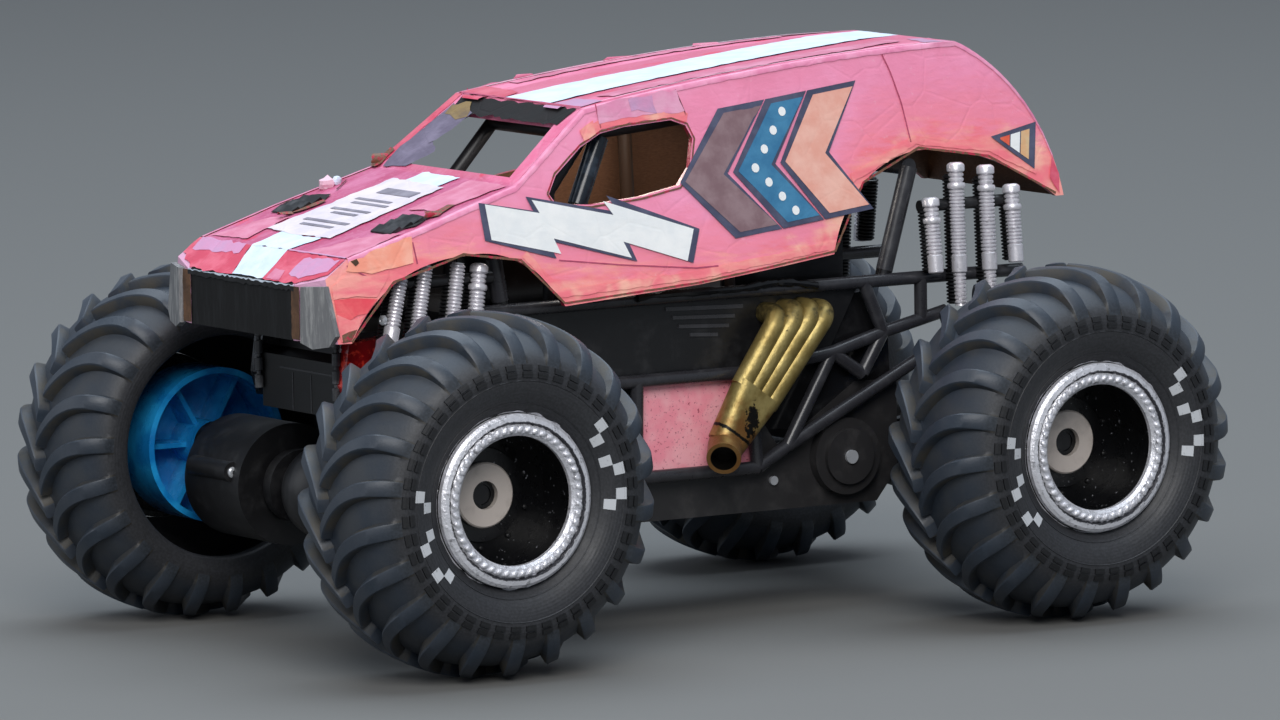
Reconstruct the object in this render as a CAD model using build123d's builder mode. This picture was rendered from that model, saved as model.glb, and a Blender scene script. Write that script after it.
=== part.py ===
from build123d import *
import os
from math import atan2, degrees, radians, sqrt, tan

# A toy monster truck: moulded space frame chassis, rubber tyres, home-made card body.
# X points to the nose, Y to the truck's left, Z up, millimetres.
# The origin is on the ground, midway between the axles.

# Driving dimensions
wheelbase = 134.0
tyre_radius = 35.0
half_track = 70.0
running_clearance = 0.05
card = 1.2
bar_radius = 1.3
frame_y = 24.0
panel_thickness = 1.0
belly_z = 21.5
rail_z = 65.6

# Tyre section, measured from the wheel's own centre plane outwards
lug_height = 2.6
tyre_wall = 1.7
tyre_depth = 30.0
tyre_bulge = 1.6
tyre_hole_radius = 22.0
lugs_per_side = 22
lug_width = 2.7
lug_sweep = 40.0
lug_shoulder_sweep = 12.0
lug_tip_rise = 1.2

# Wheel
rim_radius = 15.4
rim_wall = 1.2
rim_depth = 26.0
ring_radius = 16.6
ring_bore = 12.4
ring_thickness = 1.8
web_depth = 14.0
web_thickness = 1.4
step_radius = 9.0
step_height = 0.9
cap_radius = 6.3
cap_thickness = 1.2
cap_hole = 2.75
boss_radius = 4.6
boss_depth = 24.0
rib_count = 6
rib_thickness = 1.0
rib_height = 7.0
stub_radius = 1.9

# Axles
axle_z = tyre_radius
drum_radius = 12.0
drum_z = 30.0
drum_inner_y = 16.0
drum_outer_y = 36.0
beam_radius = 5.0

front_x = wheelbase / 2
rear_x = -wheelbase / 2

os.makedirs("parts", exist_ok=True)


def save(part, name):
    """Label one finished piece and write it to its own file."""
    part.label = name
    export_step(part, f"parts/{name}.step")


def strut(start, end, radius):
    """Round bar from one point to another, added to the part being built."""
    axis = Vector(end) - Vector(start)
    with BuildSketch(Plane(origin=start, z_dir=axis)) as section:
        Circle(radius)
    extrude(section.sketch, amount=axis.length)


def crossbar(x, z, y_from, y_to, radius):
    """Round bar that runs along Y, added to the part being built."""
    strut((x, y_from, z), (x, y_to, z), radius)


def side_prism(points, y_from, y_to, mode=Mode.ADD):
    """Side-view outline of (x, z) points, extruded between two y planes."""
    with BuildSketch(Plane.XZ.offset(-y_from)) as outline:
        with BuildLine():
            Polyline(*points, close=True)
        make_face()
    extrude(outline.sketch, amount=y_from - y_to, mode=mode)


def both_sides(part, name):
    """Write a left-hand piece and its mirror image."""
    save(mirror(part, about=Plane.XZ), f"{name}_right")
    save(part, f"{name}_left")


# Tyre: a hollow revolved carcass; y is 0 at the beadlock's outer face and grows outwards
crown_radius = tyre_radius - lug_height
crown_y = -tyre_depth / 2
crown_half_width = 9.5
shoulder_drop = 5.4
shoulder_run = tyre_depth / 2 + 0.6 - crown_half_width
shoulder_radius = crown_radius - shoulder_drop
shoulder_y = crown_y + crown_half_width + shoulder_run
bulge_radius = (ring_radius + crown_radius) / 2
cavity_radius = crown_radius - 4.7
tread_overlap = 0.4
bead_fit = 0.1

outer_wall = [
    # radius, y
    (0.0, -ring_thickness),
    (ring_radius + bead_fit, -ring_thickness),
    (bulge_radius, tyre_bulge),
    (shoulder_radius - tread_overlap, shoulder_y),
    (shoulder_radius - tread_overlap, 2 * crown_y - shoulder_y),
    (bulge_radius, -tyre_depth),
    (tyre_hole_radius, -tyre_depth + 0.8),
    (0.0, -tyre_depth + 0.8),
]
cavity = [
    (0.0, tyre_depth),
    (ring_radius + bead_fit, tyre_depth),
    (ring_radius + bead_fit, -ring_thickness - tyre_wall),
    (cavity_radius, tyre_bulge - 6.0),
    (cavity_radius, -tyre_depth + 4.0),
    (tyre_hole_radius, -tyre_depth + 0.8 + tyre_wall),
    (tyre_hole_radius, -2 * tyre_depth),
    (0.0, -2 * tyre_depth),
]

# Lugs: seen from outside the tread, x runs round the tyre and y across it
lug_reach = crown_half_width + shoulder_run - 0.4
lug_bend = crown_half_width
lug_bend_lead = lug_bend * tan(radians(lug_sweep))
lug_lead = lug_bend_lead + (lug_reach - lug_bend) * tan(radians(lug_shoulder_sweep))
lug_tail = lug_width * 0.75
lug_root = crown_radius - lug_height
lug_bend_z = sqrt(tyre_radius**2 - (lug_bend_lead + lug_width) ** 2)
lug_tip_z = sqrt((shoulder_radius + lug_tip_rise) ** 2 - (lug_lead + lug_tail) ** 2)
lug_pitch = 360.0 / lugs_per_side
lug_bearing = degrees(atan2((lug_lead + lug_width) / 2, crown_radius))
lug_rows = [
    # side of the centre plane, turn of the row
    (1, 0.0),
    (-1, lug_pitch / 2),
]


def tread_half(side, turn):
    """Half of the tread: one flat for each lug, narrowing over the shoulder."""
    bearing = -side * (lug_bearing - turn)
    shoulder_slope = degrees(atan2(shoulder_drop, shoulder_run))
    with BuildPart() as half:
        for start, amount, taper in (
            (crown_y, crown_half_width, 0),
            (crown_y + side * crown_half_width, shoulder_run, shoulder_slope),
        ):
            with BuildSketch(Plane(origin=(0, start, 0), x_dir=(1, 0, 0), z_dir=(0, side, 0))) as flats:
                RegularPolygon(crown_radius, lugs_per_side, major_radius=False, rotation=bearing)
            extrude(flats.sketch, amount=amount, taper=taper)
    return half.part


lugs = []
for side, turn in lug_rows:
    with BuildSketch(Plane.XY) as lug_plan:
        with BuildLine():
            Polyline(
                (0.0, 0.0),
                (-lug_bend_lead, side * lug_bend),
                (-lug_lead, side * lug_reach),
                (-lug_lead - lug_tail, side * lug_reach),
                (-lug_bend_lead - lug_width, side * lug_bend),
                (-lug_width, 0.0),
                close=True,
            )
        make_face()
    with BuildSketch(Plane.YZ) as lug_height_view:
        with BuildLine():
            Polyline(
                (0.0, lug_root),
                (0.0, tyre_radius),
                (side * lug_bend, lug_bend_z),
                (side * lug_reach, lug_tip_z),
                (side * (lug_reach - 1.0), lug_tip_z - 2.0),
                (side * lug_bend, lug_root),
                close=True,
            )
        make_face()
    upright = extrude(lug_plan.sketch, amount=tyre_radius, mode=Mode.PRIVATE)
    across = extrude(lug_height_view.sketch, amount=tyre_radius, both=True, mode=Mode.PRIVATE)
    lug = upright & across
    for index in range(lugs_per_side):
        lugs.append(Rot(0, turn + index * lug_pitch, 0) * Pos(0, crown_y, 0) * lug)
tread = [tread_half(side, turn) for side, turn in lug_rows]

with BuildPart() as tyre:
    with BuildSketch(Plane.XY) as section:
        with BuildLine():
            Polyline(*outer_wall, close=True)
        make_face()
    revolve(section.sketch, axis=Axis.Y)
    add(tread)
    add(lugs)
    with BuildSketch(Plane.XY) as hollow:
        with BuildLine():
            Polyline(*cavity, close=True)
        make_face()
    revolve(hollow.sketch, axis=Axis.Y, mode=Mode.SUBTRACT)

# Wheel: a deep tube with a web, hub boss and ribs on its inner side
with BuildPart() as wheel:
    with BuildSketch(Plane.XY):
        with BuildLine():
            Polyline(
                (boss_radius, -boss_depth),
                (boss_radius, -web_depth - web_thickness),
                (rim_radius - rim_wall, -web_depth - web_thickness),
                (rim_radius - rim_wall, -rim_depth),
                (rim_radius, -rim_depth),
                (rim_radius, -ring_thickness - 1.4),
                (ring_radius, -ring_thickness - 1.4),
                (ring_radius, -ring_thickness),
                (rim_radius - rim_wall, -ring_thickness),
                (rim_radius - rim_wall, -web_depth),
                (step_radius, -web_depth),
                (step_radius, -web_depth + step_height),
                (stub_radius + running_clearance, -web_depth + step_height),
                (stub_radius + running_clearance, -boss_depth),
                close=True,
            )
        make_face()
    revolve(axis=Axis.Y)
    rib_length = rim_radius - rim_wall / 2 - boss_radius
    for index in range(rib_count):
        with BuildSketch(Plane.XZ.offset(web_depth + web_thickness / 2)) as rib:
            with Locations(Rot(0, 0, index * 360.0 / rib_count)):
                with Locations((boss_radius - 0.3 + rib_length / 2, 0)):
                    Rectangle(rib_length, rib_thickness)
        extrude(rib.sketch, amount=rib_height)

with BuildPart() as ring:
    with BuildSketch(Plane.XY):
        with BuildLine():
            Polyline(
                (ring_radius, -ring_thickness),
                (ring_radius, -0.7),
                (ring_radius - 0.6, -0.2),
                (ring_radius - 1.5, 0.0),
                (ring_radius - 1.9, -0.6),
                (ring_radius - 2.3, -0.2),
                (ring_bore + 0.6, -0.3),
                (ring_bore, -0.9),
                (ring_bore, -ring_thickness),
                close=True,
            )
        make_face()
    revolve(axis=Axis.Y)

with BuildPart() as hub_cap:
    with BuildSketch(Plane.XZ.offset(web_depth - step_height)):
        Circle(cap_radius)
        Circle(cap_hole, mode=Mode.SUBTRACT)
    extrude(amount=-cap_thickness)
    chamfer(hub_cap.faces().sort_by(Axis.Y)[-1].edges().sort_by(SortBy.LENGTH)[-1], 0.3)

wheel_sites = [
    # name, axle x, side
    ("front_left", front_x, 1),
    ("front_right", front_x, -1),
    ("rear_left", rear_x, 1),
    ("rear_right", rear_x, -1),
]
wheel_pieces = [
    ("tyre", tyre.part),
    ("wheel", wheel.part),
    ("beadlock_ring", ring.part),
    ("hub_cap", hub_cap.part),
]
for name, x, side in wheel_sites:
    for piece, solid in wheel_pieces:
        placed = Pos(x, half_track, axle_z) * solid
        if side < 0:
            placed = mirror(placed, about=Plane.XZ)
        save(placed, f"{piece}_{name}")

# Axles: a beam between two drums, each drum carrying a stub for its wheel
boss_gap = 0.8
screw_boss_radius = 2.0
screw_boss_z = 32.9
screw_boss_ends = (drum_inner_y + 2.0, drum_outer_y - 3.0)
stub_end_y = half_track - web_depth + 0.6
axle_boss_y = half_track - boss_depth - boss_gap
for name, x in (("front_axle", front_x), ("rear_axle", rear_x)):
    with BuildPart() as axle:
        crossbar(x, drum_z, -drum_inner_y, drum_inner_y, beam_radius)
        with Locations((x, 0, drum_z)):
            Sphere(beam_radius * 1.9)
        for side in (-1, 1):
            crossbar(x, drum_z, side * (drum_inner_y - 1.0), side * drum_outer_y, drum_radius)
            crossbar(x, axle_z, side * (drum_outer_y - 2.0), side * axle_boss_y, boss_radius)
            crossbar(x, axle_z, side * (drum_outer_y - 2.0), side * stub_end_y, stub_radius)
            boss_x = x + (drum_radius - 0.6) * (1 if x > 0 else -1)
            inner_y, outer_y = screw_boss_ends
            crossbar(boss_x, screw_boss_z, side * inner_y, side * outer_y, screw_boss_radius)
    save(axle.part, name)

# Chassis tub: belly pan and side plates, open at both ends for the arms
tub_wall = 1.6
arm_inner_y = 10.8
arm_outer_y = 13.6
tub_y = frame_y - bar_radius - panel_thickness - 0.1
pin_radius = 1.35
pin_fit = 0.03
small_pin_radius = 0.9
pivot_boss_radius = 7.6
pivot_cover_radius = 5.5
pivot_z = 31.2
tub_end_z = 27.6
tub_top_z = 45.6
tub_front_x = 49.5
tub_rear_x = -51.0
pivots = [
    # name, pivot x, axle x, boss on the side plate
    ("front_arms", 40.0, front_x, False),
    ("rear_arms", -37.8, rear_x, True),
]
small_pin = (-21.5, 27.4)
tub_profile = [
    # x, z along the side plate's outline
    (tub_rear_x, tub_end_z),
    (tub_rear_x + 5.0, belly_z),
    (tub_front_x - 10.0, belly_z),
    (tub_front_x, tub_end_z),
    (tub_front_x, tub_top_z),
    (-15.0, tub_top_z),
    (-23.0, 33.8),
    (-41.0, tub_top_z),
    (tub_rear_x, tub_top_z),
]
tub_hollow = [
    (tub_rear_x - 10.0, tub_end_z + tub_wall),
    (tub_rear_x, tub_end_z + tub_wall),
    (tub_rear_x + 5.0, belly_z + tub_wall),
    (tub_front_x - 10.0, belly_z + tub_wall),
    (tub_front_x, tub_end_z + tub_wall),
    (tub_front_x + 10.0, tub_end_z + tub_wall),
    (tub_front_x + 10.0, tub_top_z + 5.0),
    (tub_rear_x - 10.0, tub_top_z + 5.0),
]
with BuildPart() as tub:
    side_prism(tub_profile, tub_y, -tub_y)
    side_prism(tub_hollow, tub_y - tub_wall, -tub_y + tub_wall, mode=Mode.SUBTRACT)
    for low, high in ((tub_front_x - 8.0, tub_front_x + 10.0), (tub_rear_x - 10.0, tub_rear_x + 4.0)):
        slot = [(low, 10.0), (high, 10.0), (high, pivot_z), (low, pivot_z)]
        side_prism(slot, arm_outer_y + 0.8, -arm_outer_y - 0.8, mode=Mode.SUBTRACT)
    for name, pivot_x, axle_x, has_boss in pivots:
        if has_boss:
            for side in (-1, 1):
                for radius, reach in ((pivot_boss_radius, 0.0), (pivot_cover_radius, 1.0)):
                    crossbar(pivot_x, pivot_z, side * (tub_y - 1.0), side * (frame_y + reach), radius)
        with BuildSketch(Plane.XZ.offset(-40.0)) as pivot_hole:
            with Locations((pivot_x, pivot_z)):
                Circle(pin_radius + pin_fit)
        extrude(pivot_hole.sketch, amount=80.0, mode=Mode.SUBTRACT)
    with BuildSketch(Plane.XZ.offset(-40.0)) as small_hole:
        with Locations(small_pin):
            Circle(small_pin_radius + pin_fit)
    extrude(small_hole.sketch, amount=80.0, mode=Mode.SUBTRACT)
save(tub.part, "chassis_tub")

# Arms from the tub's pivots to the axle beams, and the steel pins they hang on
arm_pivot_radius = 3.4
arm_eye_radius = beam_radius + 2.2
pin_ends = {"front_arms": tub_y + 0.4, "rear_arms": frame_y + 1.6}
for name, pivot_x, axle_x, has_boss in pivots:
    with BuildPart() as arms:
        for y_from in (arm_outer_y, -arm_inner_y):
            with BuildSketch(Plane.XZ.offset(-y_from)) as outline:
                with Locations((pivot_x, pivot_z)):
                    Circle(arm_pivot_radius)
                with Locations((axle_x, drum_z)):
                    Circle(arm_eye_radius)
                make_hull()
                with Locations((pivot_x, pivot_z)):
                    Circle(pin_radius + pin_fit, mode=Mode.SUBTRACT)
                with Locations((axle_x, drum_z)):
                    Circle(beam_radius + running_clearance, mode=Mode.SUBTRACT)
            extrude(outline.sketch, amount=arm_outer_y - arm_inner_y)
    save(arms.part, name)

with BuildPart() as pins:
    for name, pivot_x, axle_x, has_boss in pivots:
        crossbar(pivot_x, pivot_z, -pin_ends[name], pin_ends[name], pin_radius)
    for side in (-1, 1):
        crossbar(*small_pin, side * (tub_y - tub_wall), side * (tub_y + 0.6), small_pin_radius)
save(pins.part, "pivot_pins")

# Side frames: bars between named joints on one plane
frame_joints = {
    # name: x, z
    "front_low": (49.2, 30.6),
    "low_front": (11.7, 30.6),
    "low_rear": (-16.4, 30.6),
    "knee": (-23.4, 34.3),
    "mid_front": (48.9, 49.6),
    "mid_fore": (11.3, 49.6),
    "mid_rear": (-14.7, 49.6),
    "brace": (-34.2, 52.1),
    "cross": (-41.3, 47.4),
    "spread": (-46.3, 55.3),
    "tail_mid": (-61.2, 58.6),
    "drop": (-55.4, 57.4),
    "top_front": (48.6, rail_z),
    "top_rear": (-79.5, rail_z),
    "drop_top": (-55.4, rail_z),
    "strut_top": (-41.8, rail_z),
    "low_tail": (-59.3, 51.6),
}
frame_bars = [
    ("front_low", "low_rear"),
    ("low_rear", "knee"),
    ("knee", "brace"),
    ("knee", "low_tail"),
    ("low_front", "mid_fore"),
    ("low_rear", "mid_rear"),
    ("mid_front", "mid_rear"),
    ("mid_rear", "brace"),
    ("brace", "spread"),
    ("spread", "tail_mid"),
    ("brace", "cross"),
    ("cross", "spread"),
    ("strut_top", "spread"),
    ("drop_top", "drop"),
    ("top_front", "top_rear"),
]
with BuildPart() as side_frame:
    for start, end in frame_bars:
        (x1, z1), (x2, z2) = frame_joints[start], frame_joints[end]
        strut((x1, frame_y, z1), (x2, frame_y, z2), bar_radius)
both_sides(side_frame.part, "side_frame")

# Side panels, set into the frame just inside the bars
panel_y = frame_y - bar_radius
panel_gap = 0.1
with BuildPart() as upper_panel:
    corners = ("mid_front", "mid_rear", "brace", "strut_top", "top_front")
    side_prism([frame_joints[name] for name in corners], panel_y, panel_y - panel_thickness)
both_sides(upper_panel.part, "upper_side_panel")

with BuildPart() as lower_panel:
    corners = ("low_front", "low_rear", "mid_rear", "mid_fore")
    highest = frame_joints["mid_rear"][1] - panel_gap
    outline = [(x, min(z, highest)) for x, z in (frame_joints[name] for name in corners)]
    side_prism(outline, panel_y, panel_y - panel_thickness)
both_sides(lower_panel.part, "lower_side_panel")

# Exhaust: four primaries turn out of the side panel and run side by side into one flattened collector
pipe_radius = 2.1
pipe_bend_radius = 3.0
pipe_seat_gap = 0.1
pipe_spacing = 2.45
pipe_bends = [
    # x, z where each pipe turns into the panel
    (-19.3, 61.0),
    (-23.6, 61.4),
    (-27.3, 61.4),
    (-30.6, 61.0),
]
collector_top = (-13.0, 45.4)
collector_end = (-6.2, 36.2)
outlet_radius = 3.4
outlet_bore = 2.5
outlet_length = 5.6
outlet_bore_depth = 4.0
outlet_axis = Vector(0.55, 0.75, -0.36).normalized()
pipe_y = frame_y + bar_radius + pipe_radius + 0.9
collector_axis = Vector(collector_end[0] - collector_top[0], 0.0, collector_end[1] - collector_top[1])
collector_across = Vector(0, 1, 0).cross(collector_axis).normalized()
pipe_feet = Vector(collector_top[0], pipe_y, collector_top[1])


def across_pipes(origin):
    """Plane square to the collector, with its x axis along the row of pipes."""
    return Plane(origin=origin, x_dir=collector_across, z_dir=collector_axis)


with BuildPart() as exhaust:
    for index, (x, z) in enumerate(pipe_bends):
        foot = pipe_feet + collector_across * (index - 1.5) * pipe_spacing
        bend = Vector(x, pipe_y, z)
        inlet = Vector(x, panel_y + pipe_seat_gap, z)
        with BuildLine() as route:
            FilletPolyline(foot, bend, inlet, radius=pipe_bend_radius)
        with BuildSketch(Plane(origin=foot, z_dir=bend - foot)) as bore:
            Circle(pipe_radius)
        sweep(bore.sketch, path=route.line)
    top = pipe_feet - collector_axis * 0.1
    end = pipe_feet + collector_axis
    with BuildSketch(across_pipes(top)) as mouth:
        RectangleRounded(3 * pipe_spacing + 2 * pipe_radius - 0.6, 2 * pipe_radius + 0.8, pipe_radius)
    with BuildSketch(across_pipes(end)) as waist:
        RectangleRounded(2 * outlet_radius + 0.8, 2 * outlet_radius - 0.6, outlet_radius - 0.6)
    loft([mouth.sketch, waist.sketch])
    with Locations(end):
        Sphere(outlet_radius)
    with BuildSketch(Plane(origin=end, z_dir=outlet_axis)) as outlet:
        Circle(outlet_radius)
    extrude(outlet.sketch, amount=outlet_length)
    with BuildSketch(Plane(origin=end + outlet_axis * outlet_length, z_dir=outlet_axis)) as outlet_hole:
        Circle(outlet_bore)
    extrude(outlet_hole.sketch, amount=-outlet_bore_depth, mode=Mode.SUBTRACT)
both_sides(exhaust.part, "exhaust")

# Shock absorbers, each a stack of collars and coils on one rod
coil_radius = 2.2
rod_radius = 1.0
shock_coils = 3


def shock(low, high):
    """One shock from its lower eye to its upper eye."""
    axis = Vector(high) - Vector(low)
    length = axis.length
    plane = Plane(origin=low, z_dir=axis)
    collar = 3.6
    pitch = (length - 2 * collar) / shock_coils
    points = [(0, 0), (coil_radius, 0), (coil_radius, collar)]
    for coil in range(shock_coils):
        base = collar + coil * pitch
        points += [(rod_radius + 0.6, base + pitch * 0.1), (coil_radius, base + pitch * 0.5)]
    points += [(coil_radius + 0.3, length - collar), (coil_radius + 0.3, length), (0, length)]
    with BuildSketch(Plane.XZ) as half:
        with BuildLine():
            Polyline(*points, close=True)
        make_face()
    body = revolve(half.sketch, axis=Axis.Z, mode=Mode.PRIVATE)
    add(plane * body)


shock_y = 28.1
shock_lean = 2.0
front_shocks = [
    # lower x, lower z, upper x, upper z
    (68.7, 59.6, 64.7, 74.8),
    (63.2, 56.6, 59.5, 75.8),
    (55.9, 56.6, 52.0, 75.8),
    (50.2, 59.7, 47.4, 75.5),
]
rear_shocks = [
    (-56.4, 66.7, -56.5, 81.6),
    (-62.2, 59.8, -62.6, 88.2),
    (-69.5, 59.8, -69.7, 87.3),
    (-75.6, 67.6, -75.8, 83.1),
]
front_hoop_x = 43.0
front_hoop_z = 75.8
rear_hoop_x = -53.7
rear_hoop_z = 87.6
carrier_radius = 1.2
carrier_y = shock_y - 3.3
front_carrier = (72.4, front_hoop_x + 1.8, 65.6)
rear_carrier = (79.8, rear_hoop_x - 1.0, -76.6)


def carrier(z, x_from, x_to):
    """Bar along X behind one set of shocks, from its hoop outwards."""
    strut((x_from, carrier_y, z), (x_to, carrier_y, z), carrier_radius)


with BuildPart() as front_shock_set:
    for x1, z1, x2, z2 in front_shocks:
        shock((x1, shock_y, z1), (x2, shock_y - shock_lean, z2))
    carrier(*front_carrier)
both_sides(front_shock_set.part, "front_shocks")
with BuildPart() as rear_shock_set:
    for x1, z1, x2, z2 in rear_shocks:
        shock((x1, shock_y, z1), (x2, shock_y - shock_lean, z2))
    carrier(*rear_carrier)
both_sides(rear_shock_set.part, "rear_shocks")

# Rear and front hoops that carry the shocks' upper ends, and cross bars
hoop_radius = 1.7
hoop_y = frame_y - 1.2
hoop_foot_z = rail_z + bar_radius + 0.55
for name, foot_x, top_x, top_z in (
    ("rear_hoop", -47.6, rear_hoop_x, rear_hoop_z),
    ("front_hoop", 41.6, front_hoop_x, front_hoop_z),
):
    with BuildPart() as hoop:
        for side in (-1, 1):
            strut((foot_x, side * hoop_y, hoop_foot_z), (top_x, side * hoop_y, top_z), hoop_radius)
        crossbar(top_x, top_z, -hoop_y, hoop_y, hoop_radius)
    save(hoop.part, name)

# Card body: outer and inner forms made from a plan, a side profile and a nose outline
body_base_z = 60.0
form_low_z = 50.0
body_half_width = 34.4
tumblehome = 13.5
nose_x = 86.1
nose_half_width = 20.6
nose_z = 73.3
nose_low_z = 62.6
corner_x = 82.6
corner_half_width = 33.0
hood_front = (79.0, 78.3)
hood_rear = (40.0, 90.0)
roof_front = (22.5, 103.6)
roof_mid = (-20.0, 109.0)
roof_rear = (-68.0, 111.5)
tail_mid = (-83.2, 99.0)
tail_tip = (-90.0, 79.6)
crease_low_x = -53.9
crease_high_x = -49.2


def plan_form(inset, height):
    """Body in plan, with both sides leaning inwards as they rise."""
    with BuildSketch(Plane.XY.offset(body_base_z)) as plan:
        with BuildLine():
            half = body_half_width - inset
            left = [(115.0, half - 6.0), (62.0, half), (-15.0, half), (-115.0, half - 7.5)]
            Polyline(*left, *[(x, -y) for x, y in reversed(left)], close=True)
        make_face()
    return extrude(plan.sketch, amount=height, taper=tumblehome, mode=Mode.PRIVATE)


def profile_form(inset):
    """Body in side view, from the nose over the roof to the tail, open below."""
    brow = (nose_x - inset, nose_z - inset * 0.6)
    hood_start = (hood_front[0] - inset * 0.4, hood_front[1] - inset)
    hood_end = (hood_rear[0] - inset * 0.5, hood_rear[1] - inset)
    roof_start = (roof_front[0] - inset * 0.4, roof_front[1] - inset)
    roof_middle = (roof_mid[0], roof_mid[1] - inset)
    roof_end = (roof_rear[0] + inset * 0.2, roof_rear[1] - inset)
    tail_middle = (tail_mid[0] + inset * 0.8, tail_mid[1] - inset * 0.6)
    tail_end = (tail_tip[0] + inset, tail_tip[1])
    with BuildSketch(Plane.XZ) as view:
        with BuildLine():
            Polyline((nose_x - inset, form_low_z), brow, hood_start, hood_end, roof_start)
            ThreePointArc(roof_start, roof_middle, roof_end)
            ThreePointArc(roof_end, tail_middle, tail_end)
            Polyline(tail_end, (tail_end[0], form_low_z), (nose_x - inset, form_low_z))
        make_face()
    return extrude(view.sketch, amount=50.0, both=True, mode=Mode.PRIVATE)


def nose_form(inset):
    """Vertical prism that cuts both front corners at a slant."""
    half = nose_half_width - inset * 0.3
    side_x = corner_x - inset
    left = [(nose_x - inset, half), (side_x, corner_half_width), (side_x, 60.0), (-120.0, 60.0)]
    with BuildSketch(Plane.XY.offset(40.0)) as plan:
        with BuildLine():
            Polyline(*left, *[(x, -y) for x, y in reversed(left)], close=True)
        make_face()
    return extrude(plan.sketch, amount=90.0, mode=Mode.PRIVATE)


front_arch = [
    # x, z of the arch's edge from front to rear, two arcs
    (80.2, nose_low_z),
    (69.7, 73.2),
    (54.0, 77.5),
    (41.7, 75.6),
    (32.9, 66.6),
]
rear_arch = [
    (-31.0, 72.3),
    (-40.1, 85.1),
    (-55.2, 90.9),
    (-72.3, 88.2),
    (-88.0, 79.8),
]


def under_form():
    """Everything below the sills, wheel arches and the nose's lower edge."""
    with BuildSketch(Plane.XZ) as view:
        with BuildLine():
            Polyline((100.0, nose_low_z), front_arch[0])
            ThreePointArc(*front_arch[:3])
            ThreePointArc(*front_arch[2:])
            Polyline(front_arch[-1], (1.8, 68.7), rear_arch[0])
            ThreePointArc(*rear_arch[:3])
            ThreePointArc(*rear_arch[2:])
            behind = [(-100.0, rear_arch[-1][1]), (-100.0, 30.0)]
            Polyline(rear_arch[-1], *behind, (100.0, 30.0), (100.0, nose_low_z))
        make_face()
    return extrude(view.sketch, amount=60.0, both=True, mode=Mode.PRIVATE)


def behind_crease():
    """Everything behind the slanted joint between side panel and rear quarter."""
    with BuildPart() as space:
        crease = [(crease_low_x - 2.0, 50.0), (crease_high_x, 130.0)]
        side_prism([(-130.0, 50.0), *crease, (-130.0, 130.0)], 80.0, -80.0)
    return space.part


def x_slab(low, high):
    """Block that keeps one stretch of the body along X."""
    return Pos((low + high) / 2, 0, 80.0) * Box(high - low, 120.0, 120.0, mode=Mode.PRIVATE)


outer_plan = plan_form(0.0, 52.0)
inner_plan = plan_form(card, 52.0)
outer_profile = profile_form(0.0)
inner_profile = profile_form(card)
outer_nose = nose_form(0.0)
inner_nose = nose_form(card)
under = under_form()

sides = (outer_plan & outer_profile & outer_nose) - inner_plan - under
front = (inner_plan & outer_profile & outer_nose) - inner_nose - under
top = (inner_plan & outer_profile & inner_nose) - inner_profile - under

window = [
    # x, z of the side window's corners
    (33.1, 88.0),
    (31.0, 91.4),
    (24.6, 96.4),
    (19.6, 98.8),
    (14.0, 99.7),
    (3.2, 100.4),
    (0.0, 99.2),
    (-1.2, 96.6),
    (0.4, 91.0),
    (3.4, 87.8),
    (12.6, 86.2),
    (24.0, 85.4),
    (31.8, 86.0),
]
with BuildPart() as side_panels:
    add(sides - behind_crease())
    side_prism(window, 60.0, -60.0, mode=Mode.SUBTRACT)
quarters = sides & behind_crease()
for name, shape in (("side_panel", side_panels.part), ("rear_quarter", quarters)):
    for solid in shape.solids():
        side = "left" if solid.center().Y > 0 else "right"
        save(Part(solid.wrapped), f"{name}_{side}")

top_panels = [
    # name, rear x, front x
    ("nose_panel", hood_front[0], nose_x + 5.0),
    ("hood_panel", hood_rear[0], hood_front[0]),
    ("roof_panel", roof_rear[0], roof_front[0]),
    ("tail_panel", -120.0, roof_rear[0]),
]
for name, low, high in top_panels:
    save(top & x_slab(low, high), name)

# Windscreen frame: the sloping panel with its opening cut through
with BuildPart() as windscreen_frame:
    add(top & x_slab(roof_front[0], hood_rear[0]))
    with BuildSketch(Plane.XY.offset(80.0)) as opening:
        with BuildLine():
            Polyline(
                (hood_rear[0] - 1.5, 22.0),
                (roof_front[0] + 3.0, 19.0),
                (roof_front[0] + 3.0, -19.0),
                (hood_rear[0] - 1.5, -22.0),
                close=True,
            )
        make_face()
    extrude(opening.sketch, amount=40.0, mode=Mode.SUBTRACT)
save(windscreen_frame.part, "windscreen_frame")

# Front: grille in the middle and a slanted corner at each side
grille_slab = Box(200.0, 2 * nose_half_width - 2.0, 200.0, mode=Mode.PRIVATE)
save(front & grille_slab, "grille_panel")
save(front - grille_slab, "front_corners")

# Headlights: flat plates standing just proud of the slanted corners
lamp_inset = 2.4
lamp_thickness = 1.3
lamp_outline = [
    # distance along the corner, height above the nose's lower edge
    (0.0, -0.1),
    (3.2, -1.2),
    (7.6, -0.5),
    (9.3, 1.6),
    (6.5, 11.0),
    (0.2, 10.6),
]
slant = Vector(corner_x - nose_x, corner_half_width - nose_half_width, 0).normalized()
slant_normal = Vector(slant.Y, -slant.X, 0)
with BuildPart() as headlights:
    corner = Vector(nose_x, nose_half_width, nose_low_z) + slant * lamp_inset
    with BuildSketch(Plane(origin=corner, x_dir=slant, z_dir=slant_normal)) as lamp:
        with BuildLine():
            Polyline(*lamp_outline, close=True)
        make_face()
    extrude(lamp.sketch, amount=lamp_thickness)
    mirror(about=Plane.XZ)
save(headlights.part, "headlights")

# Hood vents: low louvred blocks seated on the hood, one behind each torn opening
vent_steps = 3
vent_step = 2.6
vent_height = 1.5
vent_seat_gap = 0.1
vents = [
    # front x, inner y, outer y
    (67.0, 17.0, 24.5),
    (65.0, -24.0, -17.5),
]
hood_slope = (hood_rear[1] - hood_front[1]) / (hood_front[0] - hood_rear[0])


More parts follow.
